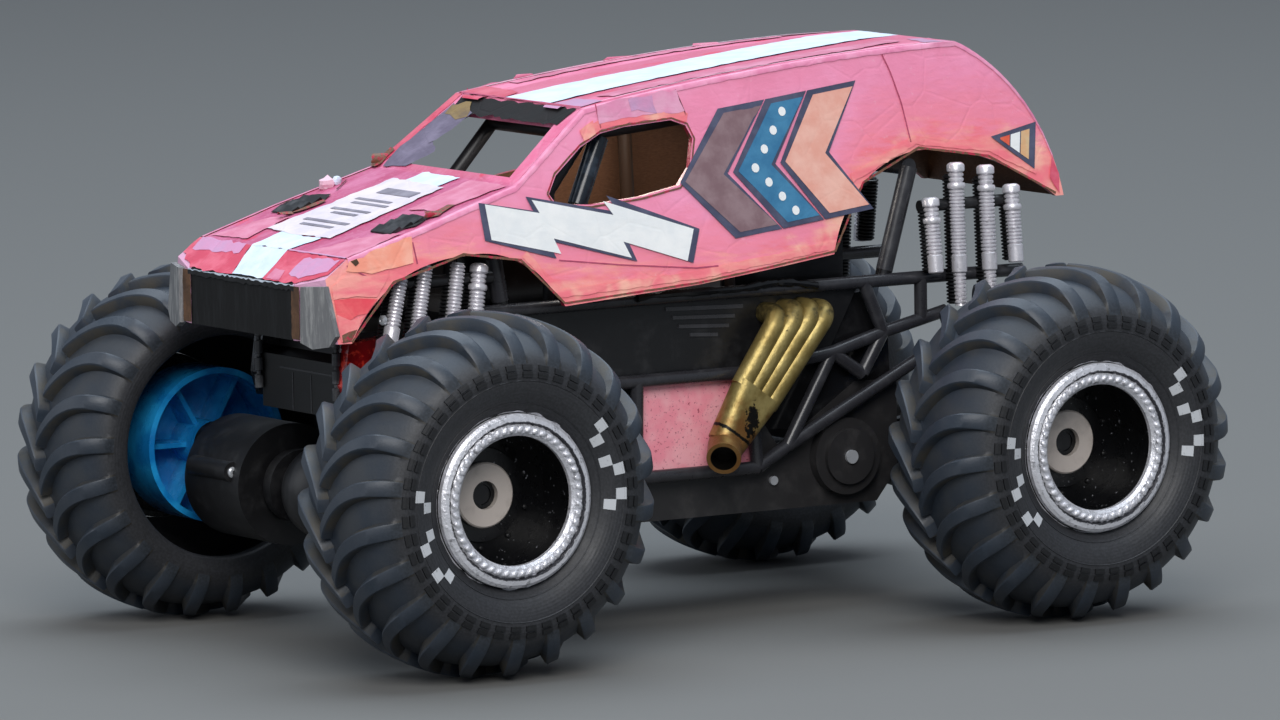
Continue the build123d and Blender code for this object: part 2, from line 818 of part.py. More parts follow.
def hood_height(x):
    """Height of the hood's outer face at one x."""
    return hood_front[1] + (hood_front[0] - x) * hood_slope


with BuildPart() as hood_vents:
    for front, inner, outer in vents:
        teeth = []
        for step in range(vent_steps):
            x = front - step * vent_step
            teeth.append((x, hood_height(x) + vent_seat_gap + 0.3))
            teeth.append((x - vent_step * 0.8, hood_height(x) + vent_height + vent_seat_gap))
        rear = front - vent_steps * vent_step
        base = [(rear, hood_height(rear) + vent_seat_gap), (front, hood_height(front) + vent_seat_gap)]
        side_prism(teeth + base, outer, inner)
save(hood_vents.part, "hood_vents")

# Roll cage inside the cab
cage_radius = 1.4
cage_y = 18.0
cage_top_y = 17.0
cage_top_front = (18.5, 98.0)
cage_top_rear = (-12.0, 100.6)
with BuildPart() as roll_cage:
    for side in (-1, 1):
        route = [
            (28.0, side * cage_y, rail_z),
            (27.5, side * cage_y, 87.4),
            (cage_top_front[0], side * cage_top_y, cage_top_front[1]),
            (cage_top_rear[0], side * cage_top_y, cage_top_rear[1]),
            (-14.0, side * cage_y, rail_z),
        ]
        for start, end in zip(route, route[1:]):
            strut(start, end, cage_radius)
    for x, z in (cage_top_front, cage_top_rear):
        crossbar(x, z, -cage_top_y, cage_top_y, cage_radius)
save(roll_cage.part, "roll_cage")

# Deck between the rails, and the bulkhead box above the front axle
deck_thickness = 1.6
deck_gap = 0.8
deck_length = 90.0
deck_x = 4.0
deck_front_x = deck_x + deck_length / 2
with BuildPart() as deck:
    with BuildSketch(Plane.XY.offset(rail_z - deck_gap - deck_thickness)):
        with Locations((deck_x, 0)):
            Rectangle(deck_length, 2 * (frame_y - bar_radius - 1.0))
    extrude(amount=deck_thickness)
save(deck.part, "deck_plate")

bulkhead_front_x = 73.2
bulkhead_half_width = 14.7
bulkhead_low_z = 46.0
bulkhead_profile = [
    # x, z of the side view
    (bulkhead_front_x, bulkhead_low_z),
    (bulkhead_front_x, 56.5),
    (bulkhead_front_x - 4.0, 57.5),
    (bulkhead_front_x - 5.0, 62.4),
    (deck_front_x, 62.4),
    (deck_front_x, bulkhead_low_z),
]
with BuildPart() as bulkhead:
    side_prism(bulkhead_profile, bulkhead_half_width, -bulkhead_half_width)
save(bulkhead.part, "front_bulkhead")

# Red cheeks beside the bulkhead
cheek_thickness = 3.2
cheek_profile = [
    # x, z of the faceted side view
    (bulkhead_front_x - 0.4, 48.0),
    (bulkhead_front_x + 0.8, 52.5),
    (bulkhead_front_x - 0.4, 60.8),
    (62.0, 61.8),
    (59.0, 54.0),
]
with BuildPart() as cheek:
    cheek_inner_y = bulkhead_half_width + panel_gap
    side_prism(cheek_profile, cheek_inner_y + cheek_thickness, cheek_inner_y)
    mirror(about=Plane.XZ)
save(cheek.part, "front_skid")
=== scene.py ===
"""Looks of a toy monster truck: rubber tyres, moulded chassis and a home-made card body.

Tables and sizes are in millimetres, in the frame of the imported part: X to the nose, Y to the
truck's left, Z up, with the origin on the floor midway between the axles.
"""
from math import cos, hypot, pi, radians, sin, sqrt, tan

import bpy
from mathutils import Matrix, Vector, noise
from mathutils.geometry import delaunay_2d_cdt


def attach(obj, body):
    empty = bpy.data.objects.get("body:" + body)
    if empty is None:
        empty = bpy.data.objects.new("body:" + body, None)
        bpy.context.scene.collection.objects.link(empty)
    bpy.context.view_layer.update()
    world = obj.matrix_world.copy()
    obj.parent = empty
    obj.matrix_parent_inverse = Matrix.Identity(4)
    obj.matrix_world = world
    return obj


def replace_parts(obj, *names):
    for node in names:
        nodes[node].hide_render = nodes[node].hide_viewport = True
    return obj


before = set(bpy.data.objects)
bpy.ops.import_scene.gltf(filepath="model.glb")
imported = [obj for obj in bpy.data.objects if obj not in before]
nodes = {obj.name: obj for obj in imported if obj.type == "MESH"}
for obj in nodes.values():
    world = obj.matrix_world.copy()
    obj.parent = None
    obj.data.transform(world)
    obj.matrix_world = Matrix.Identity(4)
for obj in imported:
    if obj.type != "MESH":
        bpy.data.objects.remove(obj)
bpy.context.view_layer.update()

MM = 0.001
AXLE_X = 67.0
AXLE_Z = 35.0
RING_Y = 70.0


# Camera: the photograph's viewpoint, found by fitting the wheels and the body's corners
CAMERA_AZIMUTH = radians(32.12)
CAMERA_ELEVATION = radians(6.42)
CAMERA_ROLL = radians(-0.8)
CAMERA_DISTANCE = 2060.0
CAMERA_TARGET = Vector((-4.53, 0.0, 50.6))
FOCAL_PIXELS = 10412.0
PHOTO_WIDTH = 1280
SENSOR_WIDTH = 36.0


def make_camera():
    data = bpy.data.cameras.new("camera")
    data.sensor_width = SENSOR_WIDTH
    data.lens = FOCAL_PIXELS / PHOTO_WIDTH * SENSOR_WIDTH
    data.clip_start = 0.05
    camera = bpy.data.objects.new("camera", data)
    back = Vector((
        sin(CAMERA_AZIMUTH) * cos(CAMERA_ELEVATION),
        cos(CAMERA_AZIMUTH) * cos(CAMERA_ELEVATION),
        sin(CAMERA_ELEVATION),
    ))
    level = Vector((-cos(CAMERA_AZIMUTH), sin(CAMERA_AZIMUTH), 0.0))
    upright = back.cross(level)
    right = level * cos(CAMERA_ROLL) + upright * sin(CAMERA_ROLL)
    up = upright * cos(CAMERA_ROLL) - level * sin(CAMERA_ROLL)
    place = Matrix((right, up, back)).transposed().to_4x4()
    place.translation = (CAMERA_TARGET + back * CAMERA_DISTANCE) * MM
    camera.matrix_world = place
    bpy.context.scene.collection.objects.link(camera)
    bpy.context.scene.camera = camera


# Node trees
def shade(code):
    """Linear colour of a web colour code."""
    parts = [int(code[i:i + 2], 16) / 255 for i in (1, 3, 5)]
    return tuple(c / 12.92 if c <= 0.04045 else ((c + 0.055) / 1.055) ** 2.4 for c in parts) + (1.0,)


class Field:
    """Value that varies over a surface; sums, products and blends of it are further nodes."""

    def __init__(self, finish, socket):
        self.finish = finish
        self.socket = socket

    def maths(self, operation, *others):
        inputs = dict(enumerate((self, *others)))
        return self.finish.field("ShaderNodeMath", inputs, operation=operation)

    def __add__(self, other):
        return self.maths("ADD", other)

    def __sub__(self, other):
        return self.maths("SUBTRACT", other)

    def __mul__(self, other):
        return self.maths("MULTIPLY", other)

    def __abs__(self):
        return self.maths("ABSOLUTE")

    def ramp(self, low, high):
        """0 below low, 1 above high, smooth between; turned round where low is the larger."""
        inputs = {"Value": self, "From Min": min(low, high), "From Max": max(low, high)}
        inputs |= {"To Min": float(low > high), "To Max": float(low <= high)}
        return self.finish.field("ShaderNodeMapRange", inputs, interpolation_type="SMOOTHSTEP")

    def mix(self, first, second):
        """Colour between two, each a web colour code or a field."""
        return self.finish.field("ShaderNodeMix", {0: self, 6: first, 7: second}, 2, data_type="RGBA")


class Finish:
    """One material's node tree, with short names for the nodes that the finishes share."""

    def __init__(self, name, **constants):
        self.material = bpy.data.materials.new(name)
        self.material.use_nodes = True
        self.tree = self.material.node_tree
        self.surface = self.tree.nodes["Principled BSDF"]
        for socket, value in constants.items():
            self.surface.inputs[socket.replace("_", " ").title().replace("Ior", "IOR")].default_value = value
        self.point = self.node("ShaderNodeTexCoord").outputs["Object"]
        self.x, self.y, self.z = self.parts(self.point)

    def node(self, kind, inputs=(), **settings):
        """New node, with its settings made and its inputs fed."""
        made = self.tree.nodes.new(kind)
        for key, value in settings.items():
            setattr(made, key, value)
        for key, value in dict(inputs).items():
            self.feed(made.inputs[key], value)
        return made

    def field(self, kind, inputs, output=0, **settings):
        return Field(self, self.node(kind, inputs, **settings).outputs[output])

    def feed(self, socket, value):
        """Link a field to a socket, or set a number or a web colour code on it."""
        value = getattr(value, "socket", value)
        if isinstance(value, bpy.types.NodeSocket):
            self.tree.links.new(value, socket)
        else:
            socket.default_value = shade(value) if isinstance(value, str) else value

    def parts(self, vector):
        """The x, y and z of a vector."""
        return [Field(self, socket) for socket in self.node("ShaderNodeSeparateXYZ", {0: vector}).outputs]

    def facing(self):
        """The x, y and z of the surface's own direction."""
        return self.parts(self.node("ShaderNodeNewGeometry").outputs["True Normal"])

    def noise(self, size, detail=3.0, roughness=0.55, stretch=(1.0, 1.0, 1.0)):
        """Noise with features of about one size in millimetres."""
        point = self.field("ShaderNodeMapping", {"Vector": self.point, "Scale": stretch})
        inputs = {"Vector": point, "Scale": 1.0 / (size * MM), "Detail": detail, "Roughness": roughness}
        return self.field("ShaderNodeTexNoise", inputs)

    def cells(self, size):
        """Distance to the edges of cells of about one size in millimetres."""
        inputs = {"Vector": self.point, "Scale": 1.0 / (size * MM)}
        return self.field("ShaderNodeTexVoronoi", inputs, "Distance", feature="DISTANCE_TO_EDGE")

    def curve(self, value, points, low, high):
        """Piecewise line through (input, output) points, both in metres."""
        start, end = points[0][0], points[-1][0]
        share = self.field("ShaderNodeMapRange", {"Value": value, "From Min": start, "From Max": end})
        made = self.node("ShaderNodeFloatCurve", {"Value": share})
        line = made.mapping.curves[0]
        for index, (x, y) in enumerate(points):
            place = ((x - start) / (end - start), (y - low) / (high - low))
            if index in (0, len(points) - 1):
                line.points[min(index, 1)].location = place
            else:
                line.points.new(*place)
        made.mapping.update()
        return Field(self, made.outputs[0]) * (high - low) + low

    def wheel_radius(self):
        """Distance from the nearest axle's line."""
        across = abs(self.x) - AXLE_X * MM
        rise = self.z - AXLE_Z * MM
        return (across * across + rise * rise).maths("SQRT")

    def colour(self, value):
        self.feed(self.surface.inputs["Base Color"], value)

    def rough(self, factor, low, high):
        self.feed(self.surface.inputs["Roughness"], factor * (high - low) + low)

    def bump(self, height, depth, strength=1.0):
        """Relief of a given depth in millimetres, over any relief already there."""
        made = self.node("ShaderNodeBump", {"Distance": depth * MM, "Strength": strength, "Height": height})
        normal = self.surface.inputs["Normal"]
        if normal.is_linked:
            self.feed(made.inputs["Normal"], normal.links[0].from_socket)
        self.feed(normal, made.outputs[0])


# Finishes
GROOVE_RADIUS = 14.9
# Distances in metres between which a finish fades in
DUST_FADE = (0.0255, 0.0325)
TREAD_SKY_REFLECTION_FADE = (0.0265, 0.0300)
TURNED_RINGS_FADE = (0.0262, 0.0252)
TURNING_PITCH = 0.00062
WHEEL_BLACK_FADE = (0.0556, 0.0562)


def rubber(name, code, tint, dusty, dust, rough_low=0.42):
    """Tyre rubber: dark, with a dry dust that thickens towards the tread and a painted blue sky reflection
    over the tread.
    """
    finish = Finish(name, specular_ior_level=0.5)
    reach = finish.wheel_radius()
    patchy = finish.noise(6.0, 5.0)
    fine = finish.noise(0.5, 4.0)
    base = fine.ramp(0.35, 0.7).mix(code, tint)
    # Blue tint over the tread: painted reflection of the sky
    base = (reach.ramp(*TREAD_SKY_REFLECTION_FADE) * 0.7).mix(base, "#27323f")
    amount = reach.ramp(*DUST_FADE) * patchy.ramp(0.34, 0.66)
    finish.colour((amount * dust).mix(base, dusty))
    finish.rough(patchy, rough_low, rough_low + 0.26)
    rings = (reach * (2 * pi / TURNING_PITCH)).maths("SINE")
    finish.bump(rings * reach.ramp(*TURNED_RINGS_FADE), 0.025, 0.3)
    finish.bump(fine, 0.06, 0.5)
    finish.bump(patchy, 0.15, 0.5)
    return finish.material


def painted_wheel():
    """Blue plastic, painted black on the side that faces out."""
    finish = Finish("blue_plastic", specular_ior_level=0.5)
    black = (finish.noise(2.0) * 0.001 + abs(finish.y)).ramp(*WHEEL_BLACK_FADE)
    dark = finish.noise(0.9, 2.0).ramp(0.68, 0.74).mix("#08080a", "#85868c")
    blue = finish.noise(7.0).ramp(0.4, 0.65).mix("#1276bb", "#2399da")
    finish.colour(black.mix(blue, dark))
    finish.rough(finish.noise(3.0), 0.16, 0.42)
    finish.bump(finish.noise(1.6, 3.0), 0.12, 0.5)
    return finish.material


def silver_paint(name, code, worn, lumps, groove=False):
    """Silver brushed on by hand, with painted shade in the groove of the wheels' rings."""
    finish = Finish(name, metallic=0.5)
    coarse = finish.noise(1.1, 4.0, 0.65)
    wear_and_groove_shade = coarse.ramp(0.54, 0.70) * worn
    # The ring's groove is darkened as painted shade
    if groove:
        offset = abs((coarse - 0.5) * 0.0009 + finish.wheel_radius() - GROOVE_RADIUS * MM)
        wear_and_groove_shade = wear_and_groove_shade.maths("MAXIMUM", offset.ramp(0.00036, 0.00016))
    finish.colour(wear_and_groove_shade.mix(code, "#3a3a3f"))
    finish.rough(finish.noise(0.45, 3.0), 0.2, 0.46)
    finish.bump(coarse, lumps, 0.8)
    return finish.material


def moulded_plastic(name, code, dusty="#454547", dust=0.22, low=0.28, high=0.5):
    finish = Finish(name, specular_ior_level=0.5)
    patchy = finish.noise(5.0, 5.0, 0.6)
    finish.colour((patchy.ramp(0.48, 0.72) * dust).mix(code, dusty))
    finish.rough(patchy, low, high)
    finish.bump(finish.noise(0.35, 2.0), 0.02, 0.4)
    finish.bump(patchy, 0.08, 0.3)
    return finish.material


# Exhaust paint: the outlets' mouths and axes, the depth and radius of the painted shade inside them,
# the collector's end and, in metres, where the darker tops and copper fade in
OUTLET_MOUTH = (-3.1, 32.5, 34.2)
OUTLET_AXIS = (0.5515, 0.752, -0.361)
OUTLET_BORE = 2.55
OUTLET_DEPTH = 4.1
COLLECTOR_END = (-6.2, 36.2)
COLLECTOR_AXIS = (0.594, -0.804)
WAIST_BACK = 2.4
COPPER_FADE = (0.0445, 0.0370)
TOP_DARKENING_FADE = (0.0620, 0.0650)
CHIP_PLACES = [
    # x, z, radius of the bare black chips on the exhaust, in metres
    (-0.0110, 0.0416, 0.0017), (-0.0102, 0.0390, 0.0012),
]


def gold_paint():
    """Dull gold with coppery patches low down, black chips, patches darker towards the top, and painted
    shade deep inside the outlets.
    """
    finish = Finish("gold_paint", metallic=0.7)
    x, y, z = finish.x, finish.y, finish.z
    patchy = finish.noise(5.0, 4.0, 0.6)
    grit = finish.noise(0.8, 4.0, 0.6)
    base = patchy.ramp(0.35, 0.65).mix("#94804a", "#b3a066")
    warm = (((patchy - 0.5) * 0.02 + z).ramp(*COPPER_FADE) * 0.66).mix(base, "#80451f")
    marks = []
    for chip_x, chip_z, radius in CHIP_PLACES:
        across = x - chip_x
        rise = (z - chip_z) * 0.6
        reach = (grit - 0.5) * 0.004 + (across * across + rise * rise).maths("SQRT")
        marks.append(reach.ramp(radius, radius * 0.7))
    # Painted shade inside each outlet, from a little below its mouth
    steps = [part - place * MM for part, place in zip((x, abs(y), z), OUTLET_MOUTH)]
    along, up, out = (step * share for step, share in zip(steps, OUTLET_AXIS))
    reach = along + up + out
    along, up, out = (step * step for step in steps)
    off_axis = (along + up + out - reach * reach).maths("SQRT")
    depth = -OUTLET_DEPTH * MM
    bore_shade = off_axis.ramp((OUTLET_BORE + 0.1) * MM, OUTLET_BORE * MM)
    marks.append(bore_shade * reach.ramp(depth - 0.0002, depth))
    waist_place = sum(end * share for end, share in zip(COLLECTOR_END, COLLECTOR_AXIS)) - WAIST_BACK
    waist = x * COLLECTOR_AXIS[0] + z * COLLECTOR_AXIS[1] - waist_place * MM
    waist = abs((grit - 0.5) * 0.0008 + waist).ramp(0.00042, 0.00022)
    marks.append(waist * reach.ramp(-0.0036, -0.0042))
    # Darker towards the tops of the pipes, in patches
    marks.append((grit * 0.006 + z).ramp(*TOP_DARKENING_FADE) * 0.8 * patchy.ramp(0.40, 0.55))
    dark = (grit * 0.25 + patchy).ramp(0.82, 0.86)
    for mark in marks:
        dark = dark.maths("MAXIMUM", mark)
    finish.colour(dark.mix(warm, "#171512"))
    finish.rough(grit, 0.34, 0.54)
    finish.bump(grit, 0.16, 0.6)
    return finish.material


# Card body: where its paints change, in metres
NOSE_EDGE_FADE = (0.0785, 0.0795)
HOOD_FADE = (0.039, 0.041)
TAIL_FADE = (-0.0679, -0.0681)
ROOF_BAND_FADE = (0.0185, 0.0165)
SALMON_LINE = [
    # x, z of the boundary between pink and salmon along the side, rear to front
    (-0.092, 0.0895), (-0.074, 0.0955), (-0.058, 0.0950), (-0.046, 0.0930), (-0.038, 0.0880),
    (-0.030, 0.0790), (-0.022, 0.0752), (0.000, 0.0728), (0.018, 0.0735), (0.033, 0.0740),
    (0.041, 0.0770), (0.052, 0.0795), (0.064, 0.0800), (0.066, 0.0815), (0.088, 0.0785),
]


def wrinkled(finish, depth=1.0):
    """Relief of paper and tape that was glued over card by hand."""
    finish.bump(finish.noise(22.0, 2.0), 0.9 * depth, 0.6)
    finish.bump(finish.noise(4.0, 3.0, 0.6, (1.0, 1.0, 2.2)), 0.22 * depth, 0.6)
    finish.bump(finish.cells(9.0).ramp(0.0, 0.05), 0.10 * depth, 0.35)
    finish.bump(finish.noise(0.6, 3.0), 0.04 * depth, 0.5)


def bare_card(finish):
    """Colour of unpainted card, as its cut edges and inner faces show it."""
    return finish.noise(0.9, 3.0, 0.6, (1.0, 1.0, 4.0)).mix("#4a3022", "#8a6248")


def marker_red(finish):
    """Red to salmon felt pen under tape: soft strokes with paler blotches."""
    strokes = finish.noise(4.5, 3.0, 0.55, (0.3, 1.0, 1.3)).ramp(0.38, 0.66).mix("#f87b87", "#fea59b")
    return (finish.noise(8.0, 3.0, 0.5).ramp(0.5, 0.7) * 0.8).mix(strokes, "#ffc8ae")


def painted_side():
    """Side of the body: pink above, salmon and red along its lower edge, bare card inside."""
    finish = Finish("painted_card_side", coat_weight=0.2, coat_roughness=0.25)
    patchy = finish.noise(16.0, 4.0, 0.6)
    streak = finish.noise(2.2, 4.0, 0.6, (0.35, 1.0, 1.6))
    pink = patchy.ramp(0.35, 0.65).mix("#f48fb0", "#fb9dc0")
    above = (streak - 0.5) * 0.013 + (finish.z - finish.curve(finish.x, SALMON_LINE, 0.060, 0.100))
    deep = above.ramp(0.0005, 0.0130).mix("#f98ca3", pink)
    colour = above.ramp(-0.0035, 0.0025).mix(marker_red(finish), deep)
    scuffed = finish.noise(1.3, 5.0, 0.7).ramp(0.60, 0.74) * 0.35
    colour = scuffed.mix(colour, "#f9c3d3")
    outward = finish.facing()[1] * finish.y.maths("SIGN")
    edge_paint = finish.noise(2.5).ramp(0.42, 0.52).mix(bare_card(finish), "#a8203c")
    edge_paint = finish.x.ramp(*NOSE_EDGE_FADE).mix(edge_paint, "#dba3c0")
    back = outward.ramp(-0.65, -0.55).mix(bare_card(finish), edge_paint)
    finish.colour(outward.ramp(0.55, 0.65).mix(back, colour))
    finish.rough(patchy, 0.34, 0.55)
    wrinkled(finish)
    return finish.material


def painted_top():
    """Top of the body: duskier over the hood, brighter over the roof."""
    finish = Finish("painted_card_top", specular_ior_level=0.35)
    patchy = finish.noise(9.0, 5.0, 0.65, (0.5, 1.5, 1.0))
    hood = patchy.ramp(0.38, 0.66).mix("#b64d74", "#c66e92")
    roof = patchy.ramp(0.38, 0.66).mix("#dc6c90", "#e588a8")
    band = (patchy * 0.006 + abs(finish.y)).ramp(*ROOF_BAND_FADE)
    roof = (band * 0.75).mix(roof, "#c4627c")
    colour = finish.x.ramp(*HOOD_FADE).mix(roof, hood)
    colour = (finish.noise(0.9, 4.0, 0.7).ramp(0.5, 0.7) * 0.3).mix(colour, "#da9bb1")
    smear = finish.noise(5.0, 4.0, 0.6, (0.4, 1.0, 1.0)).ramp(0.58, 0.70) * 0.7
    colour = smear.mix(colour, "#d9405a")
    along, _, up = finish.facing()
    front = (along * 0.5 + up).ramp(0.05, 0.2)
    tail = (up - along).ramp(0.05, 0.2)
    outside = finish.x.ramp(*TAIL_FADE) * (tail - front) + front
    finish.colour(outside.mix(bare_card(finish), colour))
    finish.rough(patchy, 0.36, 0.6)
    wrinkled(finish)
    return finish.material


def paper(name, code, tint, gloss=0.5, coat=0.0, relief=1.0):
    """Painted or printed paper, taped on by hand."""
    finish = Finish(name, coat_weight=coat, coat_roughness=0.2, specular_ior_level=0.4)
    patchy = finish.noise(5.0, 4.0, 0.6)
    finish.colour(patchy.ramp(0.35, 0.68).mix(code, tint))
    finish.rough(patchy, gloss, gloss + 0.2)
    wrinkled(finish, relief)
    return finish.material


def marker_paper():
    finish = Finish("marker_paper", coat_weight=0.35, coat_roughness=0.2)
    finish.colour(marker_red(finish))
    finish.rough(finish.noise(3.0), 0.28, 0.5)
    wrinkled(finish)
    return finish.material


def torn_card():
    """Bare brown card with red rags of paint."""
    finish = Finish("torn_card")
    rag = finish.noise(1.4, 4.0, 0.65).ramp(0.50, 0.60)
    finish.colour(rag.mix(bare_card(finish), "#b02842"))
    finish.rough(rag, 0.5, 0.8)
    finish.bump(finish.noise(0.8, 4.0, 0.65), 0.3, 0.8)
    return finish.material


def worn_print(name, code, worn, low, high):
    """Paint rubbed off in small flakes."""
    finish = Finish(name, specular_ior_level=0.4)
    flakes = finish.noise(0.8, 5.0, 0.7).ramp(low, high)
    finish.colour(flakes.mix(code, worn))
    finish.rough(flakes, 0.45, 0.7)
    finish.bump(flakes, 0.05, 0.6)
    return finish.material


def matte_card(name, code, tint):
    """Card painted with a dry brush: streaks along its height."""
    finish = Finish(name, specular_ior_level=0.3)
    streak = finish.noise(1.5, 5.0, 0.7, (1.0, 1.0, 0.15))
    finish.colour(streak.ramp(0.42, 0.72).mix(code, tint))
    finish.rough(streak, 0.6, 0.85)
    finish.bump(streak, 0.12, 0.6)
    return finish.material


def cab_cage():
    """Black cage bars, rubbed brown like the card behind the seats."""
    finish = Finish("cage_black", specular_ior_level=0.4)
    finish.colour(finish.x.ramp(0.001, -0.003).mix("#1f1f22", "#33241a"))
    finish.rough(finish.noise(5.0, 4.0), 0.3, 0.55)
    return finish.material


def clear_red():
    """Clear red plastic with painted orange glints on the near side, and painted shade, near black, on the
    far one.
    """
    finish = Finish("red_plastic", coat_weight=0.6, coat_roughness=0.1)
    # Orange patches: painted glints; the far side's near black: painted shade
    painted_glints = finish.noise(1.6, 3.0).ramp(0.48, 0.66)
    finish.colour(finish.y.ramp(0.004, 0.008).mix("#0c0c0e", painted_glints.mix("#8e0d16", "#e5361f")))
    finish.rough(painted_glints, 0.2, 0.4)
    return finish.material


def speckled_panel():
    finish = Finish("speckled_panel")
    grain = finish.noise(0.55, 4.0, 0.7)
    base = finish.noise(6.0, 3.0).ramp(0.4, 0.65).mix("#f695a5", "#f9b0b9")
    finish.colour(grain.ramp(0.58, 0.68).mix(base, "#a4455a"))
    finish.rough(grain, 0.5, 0.75)
    finish.bump(grain, 0.08, 0.6)
    return finish.material


# Mesh helpers
SIDES = ((1, "left"), (-1, "right"))


def between(a, b, share):
    """Point at one share of the way between two."""
    return tuple(p + (q - p) * share for p, q in zip(a, b))


def smooth_line(points, steps):
    """Points along a smooth line through the given ones, a few steps to each stretch."""
    line = []
    ends = [points[0], *points, points[-1]]
    for a, b, c, d in zip(ends, ends[1:], ends[2:], ends[3:]):
        for t in [step / steps for step in range(steps)]:
            line.append(tuple(
                0.5 * (2 * q + (r - p) * t + (2 * p - 5 * q + 4 * r - s) * t ** 2
                       + (3 * q - p - 3 * r + s) * t ** 3)
                for p, q, r, s in zip(a, b, c, d)
            ))
    return line + [tuple(points[-1])]


class Build:
    """Points in millimetres and faces of a mesh that grows from several shapes."""

    def __init__(self):
        self.points = []
        self.faces = []

    def add(self, points, faces):
        base = len(self.points)
        self.points += [tuple(p) for p in points]
        self.faces += [tuple(base + index for index in face) for face in faces]

    def grid(self, rows, closed=False):
        """Quads between rows of points, each row joined to itself if closed."""
        width = len(rows[0])
        faces = []
        for r in range(len(rows) - 1):
            for c in range(width if closed else width - 1):
                d = (c + 1) % width
                faces.append((r * width + c, r * width + d, (r + 1) * width + d, (r + 1) * width + c))
        self.add([p for row in rows for p in row], faces)

    def lathe(self, profile, start, axis, segments):
        """Profile of (distance along, radius) turned about an axis from a start point."""
        along = Vector(axis).normalized()
        side = along.orthogonal().normalized()
        up = along.cross(side)
        turns = [2 * pi * k / segments for k in range(segments)]
        circle = [side * cos(turn) + up * sin(turn) for turn in turns]
        self.grid([
            [Vector(start) + along * distance + out * radius for out in circle]
            for distance, radius in profile
        ], closed=True)

    def rod(self, start, end, radius, segments):
        """Closed round bar between two points."""
        axis = Vector(end) - Vector(start)
        length = axis.length
        self.lathe([(0.0, 0.0), (0.0, radius), (length, radius), (length, 0.0)], start, axis, segments)

    def block(self, low, high):
        """Prism between two like polygons."""
        count = len(low)
        faces = [tuple(reversed(range(count))), tuple(range(count, 2 * count))]
        faces += [(i, (i + 1) % count, count + (i + 1) % count, count + i) for i in range(count)]
        self.add([*low, *high], faces)

    def plate(self, side, y, thickness, outline, inset=0.0):
        """Plate on one side of the truck, from an outline in (x, z) that starts at its front."""
        rear = min(x for x, z in outline)
        low = [(x, side * y, z) for x, z in outline]
        high = [(x + (inset if x == rear else -inset), side * (y + thickness), z) for x, z in outline]
        self.block(low[::-side], high[::-side])

    def piece(self, name, finish, body="root", slot=None, sharp=35.0, looks=()):
        """One object that rides on a body; looks pick a finish for its first faces."""
        mesh = bpy.data.meshes.new(name)
        mesh.from_pydata([(x * MM, y * MM, z * MM) for x, y, z in self.points], [], self.faces)
        for face, look in zip(mesh.polygons, looks):
            face.material_index = look
        mesh.validate()
        mesh.shade_smooth()
        mesh.set_sharp_from_angle(angle=radians(sharp))
        for entry in finish if isinstance(finish, list) else [finish]:
            mesh.materials.append(entry)
        made = bpy.data.objects.new(name, mesh)
        bpy.context.scene.collection.objects.link(made)
        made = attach(made, body)
        return made


# Tyres
LUG_COUNT = 22
LUG_LENGTH = 17.5
LUG_HEIGHT = 2.42
LUG_FLAT = 9.0
LUG_DROP = 0.15
LUG_WALL = 0.45
LUG_BEVEL = 0.3
LUG_WIDTH = 2.5
LUG_WIDENING = 1.1
LUG_SWEEP = radians(16.0)
SWEEP_POWER = 2.7
TREAD_RADIUS = 33.8
CENTRE_STEP = 0.15
LUG_PITCH = 2 * pi / LUG_COUNT
GAP_STEPS = 6
OUTER_SECTION = [
    # radius, y from the beadlock's outer face
    (32.6, -15.0), (32.5, -11.5), (32.1, -8.2), (31.0, -4.8), (29.3, -2.1),
    (27.3, 0.0), (25.0, 1.05), (22.4, 1.05), (20.2, 0.4), (18.4, -0.8), (17.2, -1.7), (16.7, -2.2),
]
INNER_SECTION = [
    (32.6, -15.0), (32.5, -18.5), (32.1, -21.8), (31.0, -25.2), (29.3, -27.8),
    (27.3, -29.6), (25.2, -30.2), (23.2, -30.0), (22.2, -29.4), (22.0, -28.6),
]
HOLLOW_SECTION = [
    (22.0, -28.6), (22.0, -27.4), (24.0, -26.8), (27.7, -25.9), (27.7, -4.4), (16.7, -3.6), (16.7, -2.2),
]
SIDEWALL = [p for p in smooth_line(OUTER_SECTION, 4) if p[1] > -6.0]
BLOCK_COUNT = 44
BLOCK_BARS = (24.2, 25.6)
BLOCK_BAR_HALF = 0.5
BLOCK_HALF_WIDTH = 1.05
BLOCK_LIFT = 0.36
RIB_RADII = (23.0, 18.7)
RIB_SECTION = [(0.16, -0.05), (0.0, 0.14), (-0.16, -0.05)]
MARK_ANGLES = (-36.6, -16.6, 4.0, 146.6, 165.1, 183.1)
MARK_SQUARE = 2.1
MARK_RADIUS = 21.3
MARK_LIFT = 0.14
PLATE_FOOT = 0.3
PAINT_SEGMENTS = 180
PAINT_JITTER = 0.45
PAINT_EDGES = [
    # radius, lift over the sidewall, of the silver paint's ragged edge and of its inner one
    (16.95, 0.05), (16.75, 0.12),
]
WHEELS = {
    # name: x sign, side, lug turn in degrees
    "front_left": (1, 1, -1.6),
    "front_right": (1, -1, 2.0),
    "rear_left": (-1, 1, 3.6),
    "rear_right": (-1, -1, 0.0),
}
# Which finish each face wears, for the columns round one pitch of the tread
FLOOR_LOOK, WALL_LOOK, TOP_LOOK, BLOCK_LOOK = 0, 1, 2, 3
COLUMN_LOOKS = [WALL_LOOK, TOP_LOOK, TOP_LOOK, TOP_LOOK, TOP_LOOK, WALL_LOOK] + [FLOOR_LOOK] * GAP_STEPS


